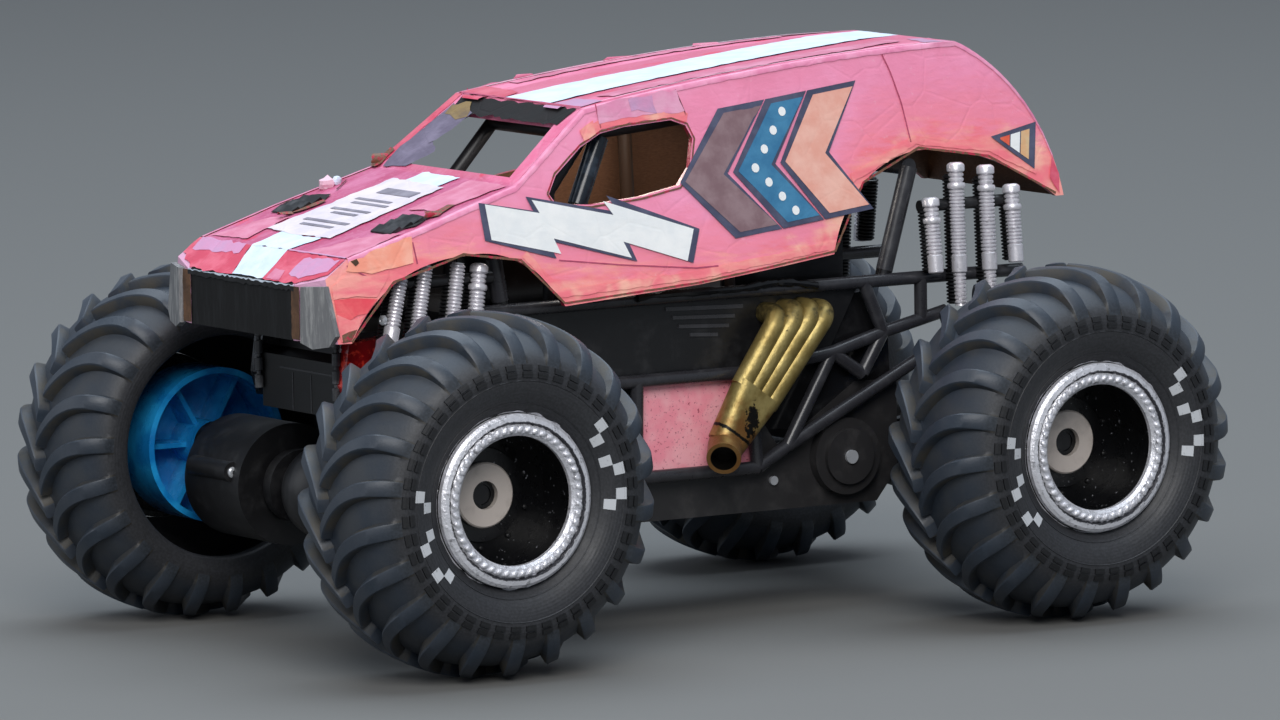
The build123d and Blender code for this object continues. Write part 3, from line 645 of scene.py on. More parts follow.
def section_height(radius):
    """Outward place of the outer sidewall at one radius."""
    for (r1, y1), (r2, y2) in zip(SIDEWALL, SIDEWALL[1:]):
        if r1 >= radius >= r2:
            return y1 + (y2 - y1) * (r1 - radius) / max(r1 - r2, 1e-6)
    return SIDEWALL[-1][1]


def lug_height(travel):
    """Height of a lug at one distance from the centre plane, along the tread."""
    if travel < LUG_FLAT:
        return LUG_HEIGHT - LUG_DROP * travel / LUG_FLAT
    share = min((travel - LUG_FLAT) / (LUG_LENGTH - LUG_FLAT), 1.0)
    return (LUG_HEIGHT - LUG_DROP) * (1.0 - share ** 1.5)


def lug_columns(width):
    """Offsets round the tread from a lug's leading edge, with the share of its height."""
    gap = LUG_PITCH * TREAD_RADIUS - width - 2 * LUG_WALL
    columns = [(-LUG_WALL, 0.0), (0.0, 0.88), (LUG_BEVEL, 1.0), (width / 2, 1.0)]
    columns += [(width - LUG_BEVEL, 1.0), (width, 0.88), (width + LUG_WALL, 0.0)]
    return columns + [(width + LUG_WALL + gap * k / GAP_STEPS, 0.0) for k in range(1, GAP_STEPS)]


def tyre_half(build, section, turn, sign):
    """One half of the tread with its sidewall, as a grid that follows the lugs' sweep."""
    line = smooth_line(section, 4)
    travel = 0.0
    rows = []
    looks = []
    for index, (radius, y) in enumerate(line):
        before = line[max(index - 1, 0)]
        after = line[min(index + 1, len(line) - 1)]
        travel += hypot(radius - before[0], y - before[1])
        normal = Vector((abs(after[1] - before[1]), (before[0] - after[0]) * sign)).normalized()
        share = min(travel / LUG_LENGTH, 1.0)
        sweep = LUG_SWEEP * (1.0 - (1.0 - share) ** SWEEP_POWER)
        columns = lug_columns(LUG_WIDTH + LUG_WIDENING * share)
        heights = [lug_height(travel)] if index else [0.0, lug_height(travel)]
        for step, height in enumerate(heights):
            row = []
            for lug in range(LUG_COUNT):
                for offset, share_up in columns:
                    angle = turn + lug * LUG_PITCH + sweep + offset / TREAD_RADIUS
                    reach = radius + normal.x * height * share_up
                    place = y + normal.y * height * share_up + sign * CENTRE_STEP * step
                    row.append((-reach * sin(angle), place, reach * cos(angle)))
            rows.append(row)
            looks += (COLUMN_LOOKS if travel < LUG_LENGTH else [FLOOR_LOOK] * len(COLUMN_LOOKS)) * LUG_COUNT
    build.grid(rows, closed=True)
    return looks[:-len(rows[0])]


def sidewall_plate(build, angle, half_angle, radii, lift):
    """Low plate that lies on the outer sidewall between two radii."""
    low, high = radii
    top = []
    for theta in (angle - half_angle, angle + half_angle):
        for radius in (low, (low + high) / 2, high):
            top.append((radius * cos(theta), section_height(radius) + lift, radius * sin(theta)))
    foot = [(x, y - lift - PLATE_FOOT, z) for x, y, z in top]
    count = len(top)
    rim = (0, 3, 4, 5, 2, 1)
    faces = [(0, 1, 4, 3), (1, 2, 5, 4)]
    faces += [(a, b, b + count, a + count) for a, b in zip(rim, rim[1:] + rim[:1])]
    build.add(top + foot, faces)


def turned_ring(build, profile, segments):
    """Rows of (radius, y) turned about the wheel's own axis."""
    turns = [2 * pi * k / segments for k in range(segments)]
    build.grid([[(r * sin(turn), y, r * cos(turn)) for turn in turns] for r, y in profile], closed=True)


def wheel_piece(build, start, wheel, finish, slot=None, **settings):
    """Piece made in the wheel's own frame, moved to its wheel and mirrored on the right-hand side."""
    x_sign, side, _ = WHEELS[wheel]
    build.points = [(x + x_sign * AXLE_X, side * (y + RING_Y), z + AXLE_Z) for x, y, z in build.points]
    if side < 0:
        build.faces = [tuple(reversed(face)) for face in build.faces]
    return build.piece(f"{start}_{wheel}", finish, f"wheel_{wheel}", slot, **settings)


def make_tyre(name):
    x_sign, side, turn = WHEELS[name]
    build = Build()
    looks = tyre_half(build, OUTER_SECTION, radians(turn), 1)
    looks += tyre_half(build, INNER_SECTION, radians(turn) + LUG_PITCH / 2, -1)
    turned_ring(build, HOLLOW_SECTION, 96)
    for radius in RIB_RADII:
        turned_ring(build, [(radius + out, section_height(radius) + lift) for out, lift in RIB_SECTION], 96)
    looks += [FLOOR_LOOK] * (len(build.faces) - len(looks))
    for block in range(BLOCK_COUNT):
        angle = 2 * pi * (block + 0.5) / BLOCK_COUNT
        for radius in BLOCK_BARS:
            radii = (radius - BLOCK_BAR_HALF, radius + BLOCK_BAR_HALF)
            sidewall_plate(build, angle, BLOCK_HALF_WIDTH / radius, radii, BLOCK_LIFT)
    looks += [BLOCK_LOOK] * (len(build.faces) - len(looks))
    finishes = [rubber_finish, lug_wall_finish, lug_top_sky_finish, block_shade_finish]
    tyre = wheel_piece(build, "tyre_tread", name, finishes, "rubber", sharp=38.0, looks=looks)
    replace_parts(tyre, f"tyre_{name}")
    marks = Build()
    half_angle = MARK_SQUARE / 2 / MARK_RADIUS
    for index, degrees in enumerate(MARK_ANGLES):
        for row in (-1, 1):
            middle = radians(degrees) + row * (-1) ** index * half_angle
            radii = sorted((MARK_RADIUS, MARK_RADIUS + row * MARK_SQUARE))
            sidewall_plate(marks, middle, half_angle, radii, MARK_LIFT)
    wheel_piece(marks, "tyre_marks", name, mark_finish)
    paint = Build()
    rows = [[], []]
    for k in range(PAINT_SEGMENTS):
        angle = 2 * pi * k / PAINT_SEGMENTS
        jitter = noise.noise(Vector((cos(angle), sin(angle), 0.3 * x_sign + side)) * 7.0)
        for row, (radius, lift), share in zip(rows, PAINT_EDGES, (PAINT_JITTER, 0.0)):
            radius += share * jitter
            row.append((radius * sin(angle), section_height(radius) + lift, radius * cos(angle)))
    paint.grid(rows, closed=True)
    wheel_piece(paint, "ring_paint", name, ring_finish, "silver_paint")


# Wheels
ROPE_COUNT = 50
ROPE_CIRCLE = 13.75
ROPE_SEAT = -0.3
ROPE_LENGTH = 0.82
ROPE_WIDTH = 0.74
ROPE_SLANT = 0.35
ROPE_CORNERS = 10
ROPE_DOME = [(-0.2, 1.0), (0.12, 0.96), (0.36, 0.74), (0.5, 0.4), (0.55, 0.0)]
DISH_Y = -14.0
BOLT_COUNT = 10
BOLT_CIRCLE = 10.4
BOLT_DOME = [(-0.2, 0.6), (0.4, 0.55), (0.6, 0.35), (0.65, 0.0)]
STEP_PROFILE = [(9.3, -0.2), (9.25, 0.45), (9.0, 0.6), (8.7, 0.6), (8.5, 0.4), (8.45, -0.2)]


def make_wheel_details(name):
    """Lumps of thick paint round the ring, and the bolts on the dish's step."""
    x_sign, side, _ = WHEELS[name]
    rope = Build()
    for k in range(ROPE_COUNT):
        angle = 2 * pi * k / ROPE_COUNT
        out = Vector((cos(angle), 0.0, sin(angle)))
        slant = Vector((-sin(angle), 0.0, cos(angle))) + out * ROPE_SLANT
        size = 1.0 + 0.18 * noise.noise(Vector((k * 1.7, x_sign, side)))
        turns = [2 * pi * i / ROPE_CORNERS for i in range(ROPE_CORNERS)]
        oval = [slant * cos(turn) * ROPE_LENGTH + out * sin(turn) * ROPE_WIDTH for turn in turns]
        rope.grid([
            [out * ROPE_CIRCLE + Vector((0.0, ROPE_SEAT + lift, 0.0)) + p * reach * size for p in oval]
            for lift, reach in ROPE_DOME
        ], closed=True)
    wheel_piece(rope, "ring_rope", name, ring_finish, "silver_paint", sharp=60.0)
    dish = Build()
    for k in range(BOLT_COUNT):
        angle = 2 * pi * (k + 0.5) / BOLT_COUNT
        dish.lathe(BOLT_DOME, (BOLT_CIRCLE * cos(angle), DISH_Y, BOLT_CIRCLE * sin(angle)), (0, 1, 0), 8)
    turned_ring(dish, [(r, DISH_Y + y) for r, y in STEP_PROFILE], 64)
    wheel_piece(dish, "dish_bolts", name, dish_finish, "blue_plastic")


# Shocks: silver fronts with black moulded backs
SHOCK_Y = 28.1
SHOCK_LEAN = 2.0
SHOCK_TABLES = {
    # node: list of lower x, lower z, upper x, upper z, whether it has no collars
    "front_shocks": [
        (69.8, 61.2, 65.5, 75.4, True),
        (64.2, 59.6, 60.2, 75.8, True),
        (56.8, 56.6, 52.9, 75.8, True),
        (51.0, 59.7, 48.1, 75.4, False),
    ],
    "rear_shocks": [
        (-56.4, 66.7, -56.5, 81.6, False),
        (-62.2, 59.8, -62.6, 88.2, False),
        (-69.5, 59.8, -69.7, 87.3, False),
        (-75.6, 67.6, -75.8, 83.1, False),
    ],
}
CARRIERS = {
    # node: rear x, front x, height of the bar behind the shocks
    "front_shocks": (44.8, 65.6, 72.4),
    "rear_shocks": (-76.6, -54.7, 79.8),
}
CARRIER_INSET = 3.3
CARRIER_RADIUS = 1.2
BACK_OFFSET = 1.5
LONG_SHOCK = 25.0
SLEEVE_LENGTH = 3.6
LOW_SLEEVE = 6.6
RIDGE_PITCH = 0.7
COLLAR = [
    # distance back from the upper end, radius
    (5.3, 1.3), (5.2, 1.75), (4.9, 1.85), (4.4, 1.85), (4.1, 1.7), (4.0, 1.3),
]
END_CAP = [(1.9, 1.6), (1.7, 1.8), (0.6, 1.8), (0.3, 1.6), (0.0, 1.1), (0.0, 0.0)]
PLAIN_CAP = [(0.0, 1.2), (0.0, 0.0)]


def ridges(start, end, radius, depth):
    """Profile of fine rings between two distances."""
    count = max(int((end - start) / RIDGE_PITCH), 1)
    pitch = (end - start) / count
    ring = ((0.0, radius - depth), (0.3, radius), (0.7, radius), (1.0, radius - depth))
    return [(start + (k + share) * pitch, reach) for k in range(count) for share, reach in ring]


def from_end(length, profile):
    return [(length - back, radius) for back, radius in profile]


def shock_profile(length, plain):
    """Sleeve and spring, with two collars at the top unless it is plain."""
    sleeve = LOW_SLEEVE if length > LONG_SHOCK else 0.0
    top = sleeve + SLEEVE_LENGTH
    profile = [(0.0, 0.0), (0.0, 1.1)]
    if sleeve:
        profile += ridges(0.4, sleeve, 1.3, 0.3)
    profile += [(sleeve, 1.4), (sleeve + 0.2, 1.55), (top - 0.2, 1.6), (top, 1.4)]
    if plain:
        return profile + ridges(top + 0.2, length - 0.3, 1.5, 0.36) + from_end(length, PLAIN_CAP)
    profile += ridges(top + 0.2, length - 5.4, 1.62, 0.34) + from_end(length, COLLAR)
    return profile + ridges(length - 3.9, length - 2.0, 1.55, 0.3) + from_end(length, END_CAP)


def make_shocks(node, side, side_name):
    fronts = Build()
    backs = Build()
    for x1, z1, x2, z2, plain in SHOCK_TABLES[node]:
        low = Vector((x1, SHOCK_Y * side, z1))
        axis = Vector((x2, (SHOCK_Y - SHOCK_LEAN) * side, z2)) - low
        fronts.lathe(shock_profile(axis.length, plain), low, axis, 20)
        serrated = [(0.3, 0.0), (0.3, 1.6)] + ridges(0.4, axis.length - 2.6, 1.95, 0.5)
        serrated += from_end(axis.length, [(2.4, 1.5), (2.4, 0.0)])
        backs.lathe(serrated, low + Vector((0.0, -BACK_OFFSET * side, 0.0)), axis, 16)
    name = f"{node}_{side_name}"
    rear, front, height = CARRIERS[node]
    y = (SHOCK_Y - CARRIER_INSET) * side
    backs.rod((rear, y, height), (front, y, height), CARRIER_RADIUS, 14)
    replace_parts(fronts.piece(f"{name}_silver", shock_finish, slot="silver_paint"), name)
    backs.piece(f"{name}_backs", black_finish, slot="black_plastic")


# Body skin: where its outer faces lie
TUMBLEHOME = tan(radians(13.5))
BODY_BASE_Z = 60.0
BODY_HALF_WIDTH = 34.4
FRONT_TAPER = (62.0, 6.0 / 53.0)
REAR_TAPER = (-15.0, 7.5 / 100.0)
TOP_LIMIT = 111.5
HOOD_FRONT = (79.0, 78.3)
HOOD_REAR = (40.0, 90.0)
ROOF_FRONT = (22.5, 103.6)
ROOF_REAR = (-68.0, 111.5)
NOSE = (86.1, 73.3)


def half_width(x):
    """Half width of the body's plan at its base."""
    front, front_slope = FRONT_TAPER
    rear, rear_slope = REAR_TAPER
    return BODY_HALF_WIDTH - front_slope * max(x - front, 0.0) - rear_slope * max(rear - x, 0.0)


def skin_y(x, z):
    return half_width(x) - (z - BODY_BASE_Z) * TUMBLEHOME


def circle_through(a, b, c):
    """Centre and radius of the circle through three points."""
    ax, ay = a
    bx, by = b[0] - ax, b[1] - ay
    cx, cy = c[0] - ax, c[1] - ay
    d = 2 * (bx * cy - by * cx)
    ux = (cy * (bx * bx + by * by) - by * (cx * cx + cy * cy)) / d
    uy = (bx * (cx * cx + cy * cy) - cx * (bx * bx + by * by)) / d
    return ax + ux, ay + uy, hypot(ux, uy)


ROOF_ARC = circle_through(ROOF_FRONT, (-20.0, 109.0), ROOF_REAR)
TAIL_ARC = circle_through(ROOF_REAR, (-83.2, 99.0), (-90.0, 79.6))


def skin_z(x):
    """Height of the body's top surface at one x."""
    for start, end in ((NOSE, HOOD_FRONT), (HOOD_FRONT, HOOD_REAR), (HOOD_REAR, ROOF_FRONT)):
        if x >= end[0]:
            return start[1] + (end[1] - start[1]) * (x - start[0]) / (end[0] - start[0])
    cx, cz, radius = ROOF_ARC if x >= ROOF_REAR[0] else TAIL_ARC
    return cz + sqrt(max(radius ** 2 - (x - cx) ** 2, 0.0))


# Patches and bands on the skin: on its top in (x, y), or in (x, z) on its left or right side
TOP = 0
WAVE_SEEDS = {TOP: 9.0, 1: 3.0, -1: 3.0}


def on_skin(face, u, v, lift):
    if face == TOP:
        return u, v, min(skin_z(u) + lift, TOP_LIMIT)
    return u, face * (skin_y(u, v) + lift), v


def fill(outline, spacing):
    """Triangles that fill a flat outline, with points inside it for relief."""
    count = len(outline)
    low_u, low_v = map(min, zip(*outline))
    high_u, high_v = map(max, zip(*outline))
    points = [Vector(p) for p in outline]
    for i in range(1, int((high_u - low_u) / spacing) + 1):
        for j in range(1, int((high_v - low_v) / spacing) + 1):
            points.append(Vector((low_u + i * spacing, low_v + (j + 0.5 * (i % 2)) * spacing)))
    edges = [(i, (i + 1) % count) for i in range(count)]
    made = delaunay_2d_cdt(points, edges, [list(range(count))], 1, 1e-4)
    return [tuple(p) for p in made[0]], [tuple(face) for face in made[2]]


def torn(outline, ragged, step=1.5):
    """Outline with its straight edges broken up, as torn or hand-cut paper has them."""
    made = []
    for (u1, v1), (u2, v2) in zip(outline, outline[1:] + outline[:1]):
        length = hypot(u2 - u1, v2 - v1)
        steps = max(int(length / step), 1)
        for k in range(steps):
            u, v = between((u1, v1), (u2, v2), k / steps)
            shift = ragged * noise.noise(Vector((u, v, 5.0)) * 0.9) if k else 0.0
            made.append((u - (v2 - v1) / length * shift, v + (u2 - u1) / length * shift))
    return made


def patch(name, face, outline, finish, lift, spacing=3.0, waves=0.0, ragged=0.0):
    """Paper or paint that lies on the body, from its outline."""
    flat, triangles = fill(torn(outline, ragged) if ragged else outline, spacing)
    build = Build()
    points = []
    for u, v in flat:
        wave = waves * noise.noise(Vector((u, v, WAVE_SEEDS[face])) * 0.35)
        points.append(on_skin(face, u, v, lift + wave + waves))
    build.add(points, [triangle[::-1] for triangle in triangles] if face > 0 else triangles)
    build.piece(name, papers[finish])


def band_rows(line, width, step=1.2, ragged=0.4):
    """Two uneven edges of a thin band along a line of points."""
    dense = []
    for start, end in zip(line, line[1:]):
        steps = max(int(hypot(end[0] - start[0], end[1] - start[1]) / step), 1)
        dense += [between(start, end, k / steps) for k in range(steps)]
    dense.append(line[-1])
    rows = [[], []]
    for index, (u, v) in enumerate(dense):
        before, after = dense[max(index - 1, 0)], dense[min(index + 1, len(dense) - 1)]
        length = hypot(after[0] - before[0], after[1] - before[1])
        across = (-(after[1] - before[1]) / length, (after[0] - before[0]) / length)
        for row, sign in zip(rows, (1, -1)):
            reach = sign * width / 2 * (1 + ragged * noise.noise(Vector((u, v, 7.0 * sign)) * 1.1))
            row.append((u + across[0] * reach, v + across[1] * reach))
    return rows


def band(name, face, line, width, finish, lift):
    """Thin band of paper along a line of points on the body."""
    build = Build()
    build.grid([[on_skin(face, u, v, lift) for u, v in row] for row in band_rows(line, width)])
    build.piece(name, papers[finish])


# Paper on the body's top: white stripe, label, paint and tape
TOP_PATCHES = [
    # name, outline in (x, y), finish, lift
    ("stripe_nose", [(86.0, -3.7), (86.0, 7.9), (79.0, 5.9), (79.0, -7.7)], "white", 0.16),
    ("stripe_hood_front", [(79.0, 5.9), (72.6, 7.8), (72.3, -7.9), (79.0, -7.7)], "white", 0.16),
    ("stripe_hood_rear", [(46.0, 5.6), (40.3, 6.6), (40.3, -7.6), (46.0, -7.0)], "white", 0.16),
    ("label", [(71.9, -14.2), (72.7, -2.0), (72.2, 10.4), (45.2, 8.6), (44.4, -12.0)], "cream", 0.22),
    ("bevel_near", [(86.0, 7.9), (86.0, 20.2), (83.0, 27.8), (79.2, 27.9), (79.2, 5.9)], "red", 0.12),
    ("bevel_far", [(86.0, -3.7), (79.2, -7.7), (79.2, -27.9), (83.0, -27.8), (86.0, -20.2)], "red", 0.12),
    ("bevel_tape_far", [(81.4, -8.8), (79.1, -9.8), (79.1, -26.8), (82.0, -26.0)], "lilac", 0.2),
    ("bevel_tape_near", [
        (84.9, 19.8), (84.2, 15.0), (80.4, 14.4), (79.5, 26.6), (82.4, 26.6),
    ], "lilac", 0.2),
    ("bevel_tape_corner", [(85.9, 9.0), (85.8, 14.0), (83.6, 12.6), (83.4, 8.6)], "rose", 0.2),
    ("hood_tape_near", [(78.8, 12.5), (78.8, 27.8), (66.0, 27.0), (67.5, 20.5)], "rose", 0.14),
    ("hood_smear_rear", [(56.0, 13.0), (41.0, 11.0), (41.0, 25.0), (55.0, 22.5)], "rose", 0.14),
    ("hood_smear_far", [(77.0, -13.0), (66.0, -15.4), (67.0, -20.5), (78.0, -26.0)], "rose", 0.14),
    # Vent holes: dark patches of painted shade
    ("vent_hole_near", [(66.4, 21.8), (60.8, 16.0), (57.8, 17.4), (58.6, 24.4), (62.4, 26.2)], "gap", 0.24),
    ("vent_hole_far", [
        (65.4, -24.0), (60.4, -26.4), (56.0, -24.0), (54.6, -18.8), (58.0, -16.0), (63.6, -16.0),
    ], "gap", 0.24),
    ("vent_rag_near", [(58.8, 24.6), (57.0, 26.0), (51.8, 23.4), (52.2, 21.4), (58.2, 22.4)], "torn", 0.3),
    ("vent_rag_far", [
        (66.6, -18.0), (62.0, -15.6), (57.6, -15.4), (57.4, -17.2), (62.6, -17.6),
    ], "torn", 0.3),
    ("pillar_sheet_low", [
        (40.0, -23.4), (35.4, -24.2), (30.3, -21.9), (35.6, -10.8), (39.4, -15.6),
    ], "sheet", 0.2),
    ("pillar_sheet_high", [
        (30.8, -22.2), (25.1, -20.6), (26.6, -11.2), (30.6, -12.4), (34.2, -15.4),
    ], "sheet", 0.3),
    ("pillar_stain", [
        (25.6, -20.6), (24.4, -15.0), (27.6, -11.6), (28.6, -14.4), (27.6, -20.0),
    ], "ochre", 0.36),
    ("pillar_rag", [(40.8, -27.0), (36.0, -26.9), (36.4, -24.8), (41.2, -24.6)], "torn", 0.34),
    ("lip_red", [(22.2, -22.4), (22.2, -6.4), (17.6, -8.4), (16.6, -22.8)], "red", 0.12),
    ("header_shade", [(22.9, -20.6), (26.7, -19.4), (26.7, 20.6), (22.9, 21.8)], "gap", 0.14),
    ("lip_tape", [(22.1, 11.6), (21.9, 22.0), (16.4, 21.2), (17.4, 12.2)], "lilac", 0.12),
    ("roof_tape_rear", [(-64.0, 7.0), (-62.0, 16.5), (-72.5, 16.2), (-75.0, 9.0)], "lilac", 0.2),
    ("roof_hole", [(-77.0, 12.0), (-76.0, 16.4), (-78.4, 16.2), (-79.0, 12.4)], "torn", 0.26),
    ("roof_rose_near", [
        (14.0, 14.6), (-20.0, 14.2), (-48.0, 10.2), (-60.0, 6.6),
        (-60.0, 11.0), (-46.0, 16.2), (-18.0, 19.2), (13.0, 19.4),
    ], "rose", 0.12),
    ("roof_rose_far", [
        (12.0, -21.4), (-20.0, -20.8), (-50.0, -19.2), (-50.0, -16.6), (-20.0, -17.4), (12.0, -17.6),
    ], "rose", 0.12),
]
ROOF_STRIPE = [
    (22.1, 10.6), (-12.0, 10.8), (-29.0, 8.6), (-45.0, 5.2), (-58.0, 0.8), (-68.0, -2.0),
    (-68.0, -16.0), (-55.0, -12.6), (-39.0, -8.0), (-23.0, -5.0), (-8.0, -3.4), (22.1, -6.0),
]
LABEL_BARS = [
    # x, y from, y to, width along x
    (49.0, -6.4, 6.2, 2.6), (54.4, -8.4, 4.6, 0.9), (56.2, -7.0, 6.2, 0.9), (59.6, -9.0, 5.0, 0.9),
    (61.4, -6.0, 3.2, 0.9), (65.4, -9.6, 6.8, 1.0), (67.6, -7.4, 4.4, 0.9),
]
BAR_LIFT = 0.42
BAR_SLANT = 0.3
TOP_LINES = [
    # crease or cut edge in (x, y), finish; creases are lines of painted shade
    ([(49.6, -26.6), (48.0, -24.0), (52.4, -20.4)], "crease"),
    ([(79.0, 6.4), (78.9, 27.6)], "lilac"),
    ([(22.4, -22.8), (22.5, 22.4)], "soft"),
    ([(17.0, 21.6), (-7.0, 20.6), (-29.0, 20.4), (-49.0, 18.9), (-66.0, 17.3)], "pale"),
    ([(17.0, -21.6), (-7.0, -20.6), (-29.0, -20.4), (-49.0, -18.9), (-66.0, -17.3)], "pale"),
]
TOP_LINE_WIDTH = 0.4
TOP_LINE_LIFT = 0.36


def make_paper():
    for name, outline, finish, lift in TOP_PATCHES:
        patch(name, TOP, outline, finish, lift, waves=0.1, ragged=0.7)
    patch("stripe_roof", TOP, ROOF_STRIPE, "white", 0.16, spacing=4.0, waves=0.1, ragged=0.4)
    bars = Build()
    for x, y1, y2, width in LABEL_BARS:
        outline = [(x, y1), (x + width, y1 - BAR_SLANT), (x + width, y2 - BAR_SLANT), (x, y2)]
        bars.add([on_skin(TOP, *point, BAR_LIFT) for point in outline], [(0, 1, 2, 3)])
    bars.piece("label_bars", papers["bars"])
    for index, (line, finish) in enumerate(TOP_LINES):
        band(f"top_line_{index}", TOP, line, TOP_LINE_WIDTH, finish, TOP_LINE_LIFT)


# Tape, felt pen, creases painted as lines of shade, and cut edges on the body's sides
SIDE_PATCHES = [
    # name, outline in (x, z), finish, lift
    # The fender's red, coral and orange paper patches also paint the light and shade of its folded facets
    ("fender_upper", [
        (78.6, 78.0), (65.0, 82.0), (65.3, 77.0), (69.6, 76.2), (74.2, 75.4), (79.4, 76.2),
    ], "orange", 0.1),
    ("fender_front", [
        (82.9, 73.4), (79.4, 75.8), (74.4, 75.0), (70.6, 75.2), (73.8, 71.0), (78.0, 71.4), (82.9, 71.0),
    ], "marker", 0.1),
    ("fender_middle", [
        (82.8, 71.0), (78.0, 71.0), (73.8, 70.6), (76.4, 68.0), (80.0, 67.0), (82.7, 68.2),
    ], "deep", 0.1),
    ("fender_lower", [
        (82.6, 68.2), (80.0, 67.0), (76.4, 68.0), (79.6, 64.2), (80.4, 63.3), (82.4, 63.0),
    ], "coral", 0.1),
    ("fender_notch", [(78.3, 78.0), (77.0, 78.4), (76.6, 77.6), (77.4, 77.0)], "card", 0.18),
    ("fender_rag", [(82.2, 64.3), (80.6, 64.9), (78.9, 65.2), (80.4, 63.2), (82.2, 62.9)], "torn", 0.2),
    ("tape_over_window", [
        (19.7, 104.0), (14.4, 105.2), (6.1, 105.8), (1.0, 106.2),
        (-0.2, 102.0), (6.1, 101.9), (14.4, 101.4), (19.7, 100.6),
    ], "light", 0.12),
    ("tape_over_window_mid", [
        (12.4, 105.0), (6.8, 105.4), (6.2, 101.9), (9.0, 102.4), (12.0, 102.6),
    ], "lilac", 0.2),
    ("tape_window_front", [(24.4, 99.6), (21.0, 101.4), (20.8, 98.8), (23.6, 97.6)], "marker", 0.16),
    ("tail_red", [(-87.0, 83.4), (-88.9, 80.3), (-89.5, 84.0), (-88.4, 88.0)], "red", 0.12),
]
WINDOW_LINE = [
    (33.5, 88.1), (31.3, 91.8), (24.8, 96.8), (19.7, 99.2), (14.0, 100.1), (3.0, 100.8), (-0.4, 99.5),
    (-1.6, 96.6), (0.1, 90.8), (3.1, 87.4), (12.6, 85.8), (24.0, 85.0), (32.2, 85.7), (33.5, 88.1),
]
FRONT_ARCH = [(80.2, 62.9), (69.9, 73.6), (54.1, 77.9), (41.5, 76.0), (33.0, 67.2)]
SILL = [(33.0, 67.2), (1.8, 69.1), (-31.2, 72.9)]
REAR_ARCH = [(-31.2, 72.9), (-40.4, 85.6), (-55.3, 91.4), (-72.4, 88.7), (-88.0, 80.4)]
SIDE_LINES = [
    # cut edge, felt pen stroke or crease in (x, z), width, finish; creases are lines of painted shade
    (WINDOW_LINE, 0.35, "torn"),
    (FRONT_ARCH, 0.45, "torn"),
    (SILL, 0.35, "torn"),
    (REAR_ARCH, 0.45, "torn"),
    ([(23.6, 98.6), (19.6, 100.4), (14.0, 101.2), (3.0, 101.8), (-0.6, 100.6)], 1.8, "marker"),
    ([(-37.7, 86.6), (-54.8, 92.9), (-73.0, 90.3), (-84.0, 85.0)], 1.6, "marker"),
    ([(40.6, 77.0), (33.4, 69.0), (2.0, 70.6), (-29.6, 74.0)], 1.5, "marker"),
    ([(-49.5, 110.0), (-51.0, 106.3), (-52.6, 100.3), (-53.6, 92.6)], 0.3, "soft"),
    ([(64.9, 80.9), (64.5, 76.8)], 0.3, "soft"),
    ([(79.2, 77.2), (73.4, 73.8), (82.8, 71.2)], 0.25, "soft"),
    ([(19.9, 104.4), (19.4, 99.8)], 0.25, "soft"),
    ([(1.2, 106.2), (-0.4, 101.2)], 0.25, "crease"),
    ([(33.0, 75.4), (18.9, 73.6), (2.0, 71.9), (-3.0, 72.0)], 0.25, "soft"),
]
SIDE_LINE_LIFT = 0.17
EDGE_STRIPS = [
    # name, x from, x to, side, reach over the top, finish
    ("hood_near", 78.8, 40.4, 1, 0.9, "fold"),
    ("hood_far", 78.8, 40.4, -1, 0.9, "fold"),
    ("pillar_near", 40.4, 22.6, 1, 0.9, "fold"),
    ("pillar_far", 40.4, 22.6, -1, 2.6, "red"),
    ("roof_near", 22.6, -68.0, 1, 0.9, "fold"),
    ("roof_far", 22.6, -68.0, -1, 0.9, "rose"),
    ("tail_near", -68.0, -88.6, 1, 0.9, "fold"),
    ("tail_far", -68.0, -88.6, -1, 0.9, "fold"),
]
EDGE_DROP = 0.9
EDGE_STEP = 1.6
EDGE_LIFT = 0.15


def edge_strip(name, start, end, side, reach, finish):
    """Paper folded over the edge between the body's top and its side."""
    steps = max(int(abs(end - start) / EDGE_STEP), 1)
    rows = []
    for k in range(steps + 1):
        x = start + (end - start) * k / steps
        z = skin_z(x)
        y = skin_y(x, z)
        uneven = 1 + 0.3 * noise.noise(Vector((x * 0.5, side, 2.0)))
        low = z - EDGE_DROP * uneven
        high = min(z + EDGE_LIFT, TOP_LIMIT)
        rows.append([
            (x, side * (skin_y(x, low) + 0.14), low),
            (x, side * (y + 0.13), min(z + 0.04, TOP_LIMIT)),
            (x, side * (y - 0.12), high),
            (x, side * (y - reach * uneven), high),
        ])
    build = Build()
    build.grid(rows)
    build.piece(f"edge_{name}", papers[finish], sharp=60.0)


def make_tape():
    for side, side_name in SIDES:
        for name, outline, finish, lift in SIDE_PATCHES:
            patch(f"{name}_{side_name}", side, outline, finish, lift, 2.0, 0.1, 0.6)
        for index, (line, width, finish) in enumerate(SIDE_LINES):
            band(f"side_line_{index}_{side_name}", side, line, width, finish, SIDE_LINE_LIFT)
    for strip in EDGE_STRIPS:
        edge_strip(*strip)


# Stickers: plain shapes of the builder's own
BOLT_SHAPE = [
    (48.0, 87.0), (36.0, 84.6), (37.4, 87.2), (19.4, 83.2), (21.4, 86.0), (1.6, 79.4),
    (4.0, 73.4), (18.0, 78.0), (16.6, 74.8), (33.6, 79.6), (32.4, 76.6), (47.6, 80.2),
]
BORDER = 1.4
BORDER_LIFT = 0.3
PRINT_LIFT = 0.38
CHEVRONS = [
    # x of the tip, reach back to the tails, thickness, finish
    (2.0, 11.0, 9.0, "brown_print"),
    (-10.5, 10.0, 8.0, "blue_print"),
    (-22.0, 9.0, 10.0, "peach_print"),
]
CHEVRON_MIDDLE_Z = 88.5
CHEVRON_HALF_HEIGHT = 11.5
CHEVRON_SLANT = 0.10
CHEVRON_BORDER = 1.0
DOT_RADIUS = 0.9
DOT_SPREAD = 3.6
DOT_CORNERS = 12
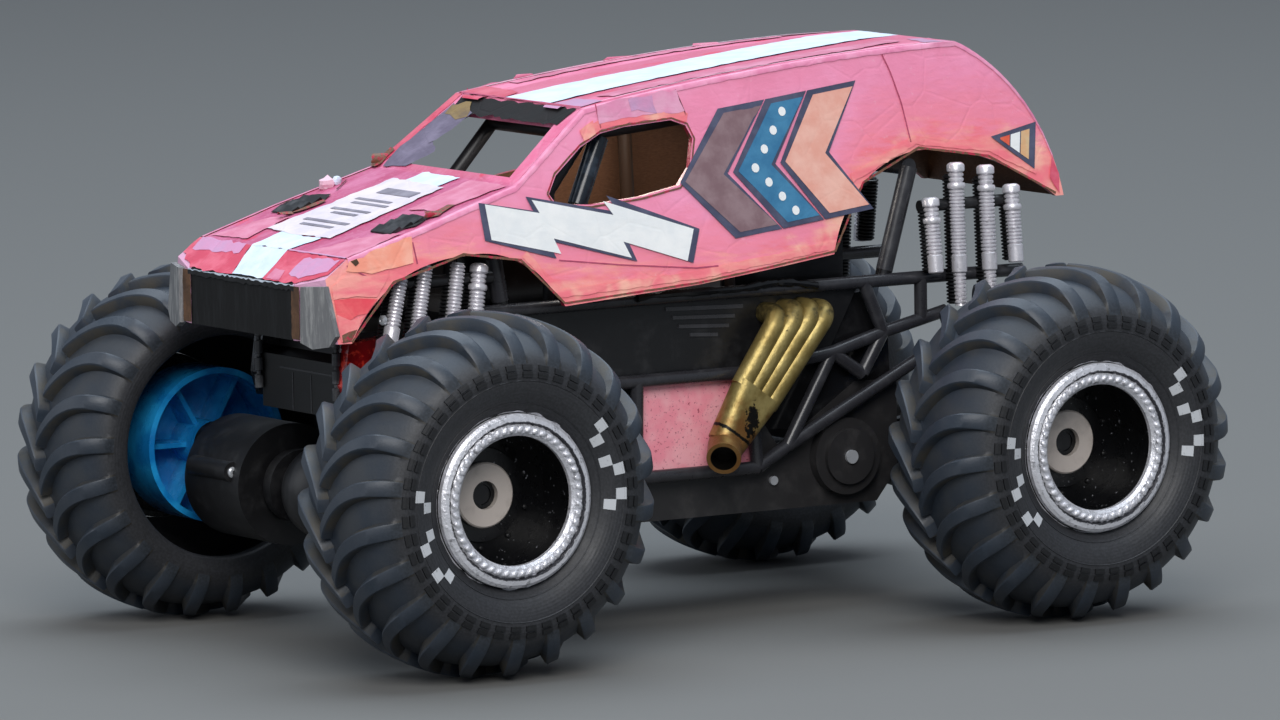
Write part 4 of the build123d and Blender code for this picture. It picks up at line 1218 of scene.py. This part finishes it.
DOT_LIFT = 0.44
BADGE = [(-73.6, 92.4), (-85.4, 94.6), (-83.4, 85.4)]
BADGE_MARGIN = 1.9
BADGE_STRIPES = [
    # share from the tip, share to, finish
    (0.05, 0.34, "red_print"), (0.37, 0.66, "white_print"), (0.69, 0.95, "gold_print"),
]


def grow(outline, amount):
    """Outline pushed outwards from its middle, for a border."""
    middle = [sum(values) / len(outline) for values in zip(*outline)]
    grown = []
    for x, z in outline:
        reach = hypot(x - middle[0], z - middle[1])
        grown.append(between(middle, (x, z), (reach + amount) / reach))
    return grown


def on_slant(x, z):
    """Place of a chevron's point, on the line of chevrons that slants down to the nose."""
    return x, z + CHEVRON_MIDDLE_Z + (CHEVRONS[0][0] - x) * CHEVRON_SLANT


def chevron(tip, reach, thickness, margin=0.0):
    """Outline of an arrow head that points to the nose."""
    half = CHEVRON_HALF_HEIGHT + margin
    tail = tip - reach
    return [on_slant(x, z) for x, z in (
        (tip, 0.0), (tail, half), (tail - thickness, half),
        (tip - thickness, 0.0), (tail - thickness, -half), (tail, -half),
    )]


def badge_stripe(start, end):
    """Slice of the rear badge, between two shares of the way from its front tip."""
    tip, high, low = grow(BADGE, -BADGE_MARGIN)
    corners = ((high, start), (high, end), (low, end), (low, start))
    return [between(tip, corner, share) for corner, share in corners]


def make_dots(side, side_name):
    """Line of dots along the middle chevron."""
    dots = Build()
    tip, reach, thickness, _ = CHEVRONS[1]
    turns = [2 * pi * i / DOT_CORNERS for i in range(DOT_CORNERS)]
    for k in range(-3, 4):
        x = tip - thickness / 2 - reach * abs(k) / DOT_SPREAD
        x, z = on_slant(x, k * CHEVRON_HALF_HEIGHT / DOT_SPREAD)
        ring = [(x + DOT_RADIUS * cos(turn), z + DOT_RADIUS * sin(turn)) for turn in turns]
        dots.add([on_skin(side, *point, DOT_LIFT) for point in ring], [range(DOT_CORNERS)[::-side]])
    dots.piece(f"chevron_dots_{side_name}", papers["white_print"])


def make_stickers():
    for side, side_name in SIDES:
        bolt_border = grow(BOLT_SHAPE, BORDER)
        patch(f"bolt_border_{side_name}", side, bolt_border, "slate_print", BORDER_LIFT)
        patch(f"bolt_{side_name}", side, BOLT_SHAPE, "white_print", PRINT_LIFT)
        for index, (tip, reach, thickness, finish) in enumerate(CHEVRONS):
            edge = chevron(tip + 1.2, reach, thickness + 2.2, CHEVRON_BORDER)
            patch(f"chevron_border_{index}_{side_name}", side, edge, "slate_print", BORDER_LIFT)
            inner = chevron(tip, reach, thickness)
            patch(f"chevron_{index}_{side_name}", side, inner, finish, PRINT_LIFT)
        make_dots(side, side_name)
        patch(f"badge_border_{side_name}", side, BADGE, "slate_print", BORDER_LIFT)
        for index, (start, end, finish) in enumerate(BADGE_STRIPES):
            patch(f"badge_{index}_{side_name}", side, badge_stripe(start, end), finish, PRINT_LIFT)


# Small pieces that the photograph shows: screws, glue, paper ends, ribs and trim
SCREW_HEADS = [
    # x, y, z of the head's seat, its axis, radius
    ((70.4, 27.0, 66.0), (1, 0, 0), 1.0),
    ((78.5, -17.95, 32.9), (0, 1, 0), 1.1),
    ((78.5, 17.95, 32.9), (0, -1, 0), 1.1),
]
SCREW_DOME = [
    # distance along, share of the head's radius
    (-0.3, 1.0), (0.3, 1.0), (0.55, 0.75), (0.6, 0.4), (0.35, 0.3), (0.35, 0.0),
]
PANEL_RIBS = [
    # x and z at the front, x and z at the rear, width
    (4.0, 63.2, -14.3, 62.6, 0.8),
    (2.4, 61.4, -12.4, 60.8, 0.7),
    (1.0, 59.6, -11.0, 59.0, 0.7),
    (-1.6, 57.8, -8.4, 57.4, 0.7),
]
RIB_Y = 22.55
RIB_INSET = 0.2
BOX_HIGHLIGHT_LINES = [
    # x, y and z spans of the raised lines of painted highlight on the front box
    (73.0, 73.35, -7.8, 14.6, 54.0, 54.35),
    (73.0, 73.3, -3.1, -2.8, 46.2, 53.6),
    (73.0, 73.3, 3.9, 4.2, 46.2, 53.6),
]
PLATES = [
    # inner face's y and outline (x, z) of the black plates behind the openings
    (20.9, [
        (-30.0, 37.0), (-44.0, 42.0), (-49.5, 47.0), (-49.0, 57.0),
        (-44.0, 63.4), (-14.0, 62.6), (-14.0, 38.0),
    ]),
    (18.1, [(12.0, 64.7), (12.0, 79.0), (36.0, 83.0), (48.6, 80.0), (48.6, 64.7)]),
    (18.1, [(-40.6, 64.7), (-40.6, 74.4), (-12.0, 72.4), (-12.0, 64.7)]),
]
PLATE_THICKNESS = 0.5
HOOP_LEGS = [
    # foot x, top x, top z
    (-47.6, -53.7, 87.6), (41.6, 43.0, 75.8),
]
HOOP_Y = 22.8
HOOP_FOOT_Z = 67.45
HOOP_SOCKET = [(-2.4, 0.0), (-2.4, 1.6), (0.6, 1.66), (0.6, 0.0)]
GLUE_LINE = [
    (12.0, 66.2), (4.0, 66.6), (-6.0, 66.4), (-12.7, 66.4), (-19.0, 67.0), (-24.0, 66.8), (-30.0, 65.8),
]
GLUE_Y = 25.6
GLUE_FLATTENING = 0.8
GLUE_CORNERS = 8
LINK_PLACE = (73.9, -14.9, 49.6)
LINK_PROFILE = [
    (0.0, 0.0), (0.0, 0.9), (2.4, 0.9), (2.6, 0.5), (3.2, 0.5), (3.4, 0.9), (5.8, 0.9), (6.0, 0.5),
    (6.6, 0.5), (6.8, 0.9), (9.2, 0.9), (9.4, 0.5), (10.0, 0.5), (10.2, 0.8), (11.4, 0.8), (11.4, 0.0),
]
CAB_BAR_ENDS = ((22.0, 20.0, 84.6), (16.1, 19.0, 97.4))
CAB_BAR_RADIUS = 1.9
CURLS = [
    # start, direction of the roll, direction across, length, width, turn in degrees, finish
    ((58.4, 24.8, 84.9), (-0.2, 0.5, 0.7), (1.0, 0.2, 0.0), 1.4, 3.0, 110.0, "torn"),
    ((66.0, -16.4, 82.9), (0.2, -0.6, 0.8), (1.0, 0.0, 0.0), 2.2, 3.0, 120.0, "torn"),
    ((8.0, -21.8, 105.9), (0.0, 0.7, 0.7), (1.0, 0.0, 0.0), 0.9, 5.0, 90.0, "rose"),
    ((-14.0, -21.3, 108.2), (0.0, 0.7, 0.7), (1.0, 0.0, 0.0), 0.9, 8.0, 90.0, "rose"),
    ((-34.0, -20.6, 109.6), (0.0, 0.6, 0.8), (1.0, 0.0, 0.0), 1.2, 7.0, 90.0, "rose"),
    ((22.6, 14.0, 103.5), (0.8, 0.0, 0.5), (0.0, 1.0, 0.0), 1.6, 7.0, 80.0, "lilac"),
    ((22.6, -16.0, 103.5), (0.8, 0.0, 0.4), (0.0, 1.0, 0.0), 1.8, 8.0, 80.0, "red"),
    ((39.0, -25.6, 90.6), (0.3, 0.4, 0.8), (1.0, -0.4, 0.0), 2.4, 4.0, 110.0, "torn"),
]
CURL_STEPS = 6
CRUMPLES = [
    # middle, size along each axis, finish
    ((51.6, -25.2, 87.2), (1.9, 1.0, 1.5), "pale"),
    ((49.6, -25.0, 87.6), (1.1, 0.8, 1.0), "white"),
]
CRUMPLE_STEPS = 6
CRUMPLE_CORNERS = 10
GRILLE_LOW_Z = 62.9
GRILLE_HIGH_Z = 73.1
GRILLE_HALF = 20.4
END_Y = 20.9
GRILLE_RIMS = [
    # finish, height, width, x
    ("white", GRILLE_HIGH_Z, 0.45, 86.3),
    ("black", GRILLE_HIGH_Z - 0.5, 0.9, 86.34),
]
END_X = 86.32
END_WIDTH = 3.0


def curl(build, start, roll, across, length, width, turn):
    """Strip of paper that rolls up from a torn edge."""
    across = Vector(across).normalized()
    forward = Vector(roll).normalized()
    up = across.cross(forward).normalized()
    radius = length / radians(turn)
    rows = []
    for k in range(CURL_STEPS + 1):
        angle = radians(turn) * k / CURL_STEPS
        middle = Vector(start) + forward * radius * sin(angle) + up * radius * (1 - cos(angle))
        ragged = 1 - 0.25 * k / CURL_STEPS + 0.2 * noise.noise(Vector((k * 0.9, start[0], start[1])))
        rows.append([middle + across * width * ragged * (j / 4 - 0.5) for j in range(5)])
    build.grid(rows)


def crumple(build, middle, size):
    """Ball of crushed paper."""
    rows = []
    for i in range(CRUMPLE_STEPS + 1):
        polar = pi * i / CRUMPLE_STEPS
        row = []
        for k in range(CRUMPLE_CORNERS):
            turn = 2 * pi * k / CRUMPLE_CORNERS
            out = Vector((sin(polar) * cos(turn), sin(polar) * sin(turn), cos(polar)))
            reach = 1 + 0.55 * noise.noise(out * 2.3 + Vector(middle) * 0.7)
            row.append(Vector(middle) + out * Vector(size) * reach)
        rows.append(row)
    build.grid(rows, closed=True)


def glue_bead(build, side):
    """Uneven bead of glue along the foot of the body."""
    rows = []
    turns = [2 * pi * k / GLUE_CORNERS for k in range(GLUE_CORNERS)]
    for x, z in smooth_line(GLUE_LINE, 6):
        lump = 0.75 + 0.5 * noise.noise(Vector((x * 0.8, z, side)))
        rows.append([
            (x, side * (GLUE_Y + lump * GLUE_FLATTENING * cos(turn)), z + lump * sin(turn))
            for turn in turns
        ])
    build.grid(rows, closed=True)


def make_hardware():
    """Screws, ribs and lines of painted highlight, black plates behind the openings, links and the bar in
    the cab.
    """
    screws = Build()
    for start, axis, radius in SCREW_HEADS:
        screws.lathe([(distance, radius * share) for distance, share in SCREW_DOME], start, axis, 16)
    screws.piece("screw_heads", steel_finish, slot="silver_paint")
    ribs = Build()
    for side, _ in SIDES:
        for x1, z1, x2, z2, width in PANEL_RIBS:
            half = width / 2
            outline = [(x1, z1 - half), (x2, z2 - half), (x2, z2 + half), (x1, z1 + half)]
            ribs.plate(side, RIB_Y, PLATE_THICKNESS, outline, RIB_INSET)
    for x1, x2, y1, y2, z1, z2 in BOX_HIGHLIGHT_LINES:
        ribs.block(*([(x, y1, z1), (x, y2, z1), (x, y2, z2), (x, y1, z2)] for x in (x1, x2)))
    ribs.piece("panel_ribs", rib_highlight_finish, slot="black_plastic")
    black = Build()
    for side, _ in SIDES:
        for y, outline in PLATES:
            black.plate(side, y, PLATE_THICKNESS, outline)
        for foot_x, top_x, top_z in HOOP_LEGS:
            leg = (top_x - foot_x, 0.0, top_z - HOOP_FOOT_Z)
            black.lathe(HOOP_SOCKET, (foot_x, side * HOOP_Y, HOOP_FOOT_Z), leg, 20)
        glue_bead(black, side)
    links = Build()
    x, y, z = LINK_PLACE
    for side, _ in SIDES:
        links.lathe(LINK_PROFILE, (x, side * y, z), (0, 0, 1), 12)
    links.piece("links", link_finish, slot="black_plastic")
    bar = Build()
    bar.rod(*CAB_BAR_ENDS, CAB_BAR_RADIUS, 20)
    bar.piece("cab_bar", bar_sky_finish, slot="black_plastic")
    black.piece("black_trim", glue_finish, slot="black_plastic")


def make_scraps():
    """Curled and crushed paper, and the grille's paper rim with its brown card ends."""
    for index, (*shape, finish) in enumerate(CURLS):
        build = Build()
        curl(build, *shape)
        build.piece(f"curl_{index}", papers[finish])
    for index, (middle, size, finish) in enumerate(CRUMPLES):
        build = Build()
        crumple(build, middle, size)
        build.piece(f"crumple_{index}", papers[finish], sharp=20.0)
    for finish, height, width, x in GRILLE_RIMS:
        rows = band_rows([(-GRILLE_HALF, height), (GRILLE_HALF, height)], width, 0.9, 0.9)
        grille_strip(f"grille_rim_{finish}", x, rows, finish)
    for side, side_name in SIDES:
        rows = band_rows([(side * END_Y, GRILLE_LOW_Z), (side * END_Y, GRILLE_HIGH_Z)], END_WIDTH, 0.8, 0.2)
        grille_strip(f"grille_end_{side_name}", END_X, rows, "card")


def grille_strip(name, x, rows, finish):
    strip = Build()
    strip.grid([[(x, y, z) for y, z in row] for row in rows])
    strip.piece(name, papers[finish])


# Stage
FLOOR_HALF = 6.0


def make_stage():
    mesh = bpy.data.meshes.new("floor")
    corners = [(-1, -1, 0), (1, -1, 0), (1, 1, 0), (-1, 1, 0)]
    mesh.from_pydata([Vector(corner) * FLOOR_HALF for corner in corners], [], [(0, 1, 2, 3)])
    floor = bpy.data.objects.new("floor", mesh)
    finish = Finish("floor_finish", roughness=0.85)
    finish.colour("#686866")
    mesh.materials.append(finish.material)
    bpy.context.scene.collection.objects.link(floor)


LIGHTS = [
    # name, place in millimetres, size in millimetres, power in watts, colour
    ("key", (900.0, 1500.0, 1300.0), 1300.0, 32.0, (1.0, 0.98, 0.96)),
    ("sky", (-300.0, -300.0, 1900.0), 2200.0, 42.0, (0.80, 0.90, 1.0)),
    ("fill", (1500.0, -700.0, 700.0), 1200.0, 4.0, (0.95, 0.97, 1.0)),
    ("cab", (2.0, 4.0, 101.5), 22.0, 0.02, (1.0, 0.92, 0.84)),
]
LIGHTS_AIM = Vector((0.0, 0.0, 50.0))
AMBIENT = (0.72, 0.82, 0.97, 1.0)
AMBIENT_STRENGTH = 0.4


def make_lights():
    for name, place, size, power, colour in LIGHTS:
        data = bpy.data.lights.new(name, "AREA")
        data.shape = "DISK"
        data.size = size * MM
        data.energy = power
        data.color = colour
        light = bpy.data.objects.new(name, data)
        light.location = Vector(place) * MM
        light.rotation_mode = "QUATERNION"
        light.rotation_quaternion = (LIGHTS_AIM - Vector(place)).to_track_quat("-Z", "Y")
        bpy.context.scene.collection.objects.link(light)
    world = bpy.data.worlds.new("studio")
    world.use_nodes = True
    background = world.node_tree.nodes["Background"]
    background.inputs["Color"].default_value = AMBIENT
    background.inputs["Strength"].default_value = AMBIENT_STRENGTH
    bpy.context.scene.world = world
    bpy.context.scene.view_settings.view_transform = "Standard"


# Finishes in use: hard parts
rubber_finish = rubber("rubber", "#242528", "#303135", "#424241", 0.4)
lug_wall_finish = rubber("rubber_lug_side", "#211f1c", "#2d2a25", "#433e34", 0.75)
# Sidewall blocks: rubber painted darker as painted shade on their facets
block_shade_finish = rubber("rubber_block_painted_shade", "#0d0e10", "#15161a", "#1d1e20", 0.3)
# Lug tops: dusty rubber, painted lighter and bluer as a painted reflection of the sky
lug_top_sky_finish = rubber("rubber_lug_top_sky_reflection", "#25292e", "#33383f", "#40444b", 0.4, 0.34)
mark_finish = worn_print("tyre_mark", "#c3c6ca", "#55565a", 0.60, 0.70)
ring_finish = silver_paint("ring_silver", "#e4e4ea", 0.6, 0.4, groove=True)
dish_finish = worn_print("dish_black", "#0d0d0f", "#8a8b90", 0.62, 0.68)
shock_finish = silver_paint("shock_silver", "#dedbe0", 0.3, 0.1)
steel_finish = silver_paint("steel", "#c6c9ce", 0.1, 0.03)
black_finish = moulded_plastic("black_plastic", "#131315")
# Frame bars: black plastic painted lighter grey, with paler patches, as a painted highlight of their satin
# sheen
frame_highlight_finish = moulded_plastic("frame_black_painted_highlight", "#2c2c30", "#5a5a5e", 0.3, 0.2, 0.36)
# Cab bar: black plastic tinted blue-grey as a painted reflection of the sky
bar_sky_finish = moulded_plastic("cab_bar", "#1a222b", "#4d5b6c", 0.5, 0.16, 0.3)
glue_finish = moulded_plastic("glue_black", "#141416", "#3a3a3c", 0.3, 0.12, 0.3)
# Ribs and the front box's lines: light grey, as a painted highlight on black plastic
rib_highlight_finish = moulded_plastic("rib_painted_highlight", "#37373a", "#4c4c50", 0.4, 0.2, 0.36)
link_finish = moulded_plastic("link_grey", "#3c3d40", "#97979b", 0.7, 0.16, 0.34)

# Finishes in use: card, paper, tape and prints
side_finish = painted_side()
top_finish = painted_top()
PAPERS = {
    # key: material's name, colour, second colour, gloss, coat
    "white": ("white_paper", "#d9e4f0", "#c9d8ea", 0.45),
    "cream": ("cream_paper", "#cfc6d2", "#ddd2d4", 0.5),
    "lilac": ("lilac_tape", "#d694ba", "#c99abf", 0.24, 0.4),
    "light": ("light_tape", "#e490b3", "#eba8c4", 0.24, 0.4),
    "fold": ("folded_edge", "#de7fa3", "#ea9bb9", 0.36, 0.2),
    # Painted shade along creases and folds
    "soft": ("crease_painted_shade", "#b8506e", "#a8425f", 0.5),
    "orange": ("orange_paper", "#fd9f86", "#ffb7a0", 0.3, 0.4),
    "deep": ("deep_red_paper", "#ef4d5b", "#f66d70", 0.26, 0.5),
    "rose": ("rose_tape", "#d0708e", "#dc8ba6", 0.34, 0.2),
    "sheet": ("grey_tape", "#655c70", "#7d7388", 0.3, 0.3),
    "ochre": ("stained_tape", "#8c7448", "#6f5c48", 0.35, 0.2),
    "red": ("red_paper", "#d2435e", "#e3697f", 0.3, 0.4),
    "coral": ("coral_paper", "#f3717c", "#fa9593", 0.3, 0.4),
    "pale": ("pale_edge", "#e6b9cc", "#f2d3de", 0.4),
    "crease": ("crease_shadow", "#7a2438", "#5a1a28", 0.5),
    # Painted shade over holes and under the roof's front edge
    "gap": ("gap_painted_shade", "#0a0809", "#150f10", 0.6),
    "black": ("black_rim", "#0c0c0e", "#1b1b1e", 0.5),
    "card": ("brown_card", "#4a3526", "#6a4c36", 0.7),
    "bars": ("grey_print", "#77727d", "#918c98", 0.5),
}
PRINTS = {
    # key and material's name: colour, second colour
    "white_print": ("#eceeee", "#f6f6f4"),
    "slate_print": ("#45475e", "#585b72"),
    "peach_print": ("#eba795", "#f3bcab"),
    "brown_print": ("#806469", "#937a7e"),
    "blue_print": ("#35739b", "#4585ab"),
    "gold_print": ("#e0a878", "#d9bd94"),
    "red_print": ("#e0583f", "#ee7352"),
}
papers = {key: paper(*row) for key, row in PAPERS.items()}
papers |= {"marker": marker_paper(), "torn": torn_card()}
papers |= {name: paper(name, *pair, gloss=0.3, coat=0.3, relief=0.5) for name, pair in PRINTS.items()}

NODE_FINISHES = [
    # starts of the nodes' names, finish; any other node is black plastic
    (("tyre",), rubber_finish),
    (("wheel",), painted_wheel()),
    (("beadlock_ring",), ring_finish),
    (("hub_cap",), moulded_plastic("hub_grey", "#c6bcb4", "#a0968f", 0.6)),
    (("exhaust",), gold_paint()),
    (("side_panel", "rear_quarter", "front_corners"), side_finish),
    (("nose_panel", "hood_panel", "roof_panel", "tail_panel", "windscreen_frame"), top_finish),
    (("grille_panel",), matte_card("grille_black", "#0b0b0c", "#1d1e20")),
    (("headlights",), matte_card("silver_card", "#6f7072", "#a2a2a1")),
    (("hood_vents",), moulded_plastic("vent_black", "#0b0b0c", "#6c6c70", 0.4, 0.2, 0.5)),
    (("lower_side_panel",), speckled_panel()),
    (("pivot_pins",), steel_finish),
    (("front_skid",), clear_red()),
    (("front_bulkhead",), moulded_plastic("box_black", "#0a0a0b", "#1c1c1e", 0.3, 0.3, 0.5)),
    (("side_frame", "rear_hoop", "front_hoop"), frame_highlight_finish),
    (("roll_cage",), cab_cage()),
    (("chassis_tub",), moulded_plastic("tub_black", "#272627", "#4a4848", 0.3, 0.34, 0.52)),
]


def dress_nodes():
    for name, node in nodes.items():
        finish = next((made for starts, made in NODE_FINISHES if name.startswith(starts)), black_finish)
        node.data.materials.clear()
        node.data.materials.append(finish)


make_camera()
make_stage()
make_lights()
dress_nodes()
for wheel in WHEELS:
    make_tyre(wheel)
    make_wheel_details(wheel)
for node in SHOCK_TABLES:
    for side, side_name in SIDES:
        make_shocks(node, side, side_name)
make_paper()
make_tape()
make_stickers()
make_hardware()
make_scraps()
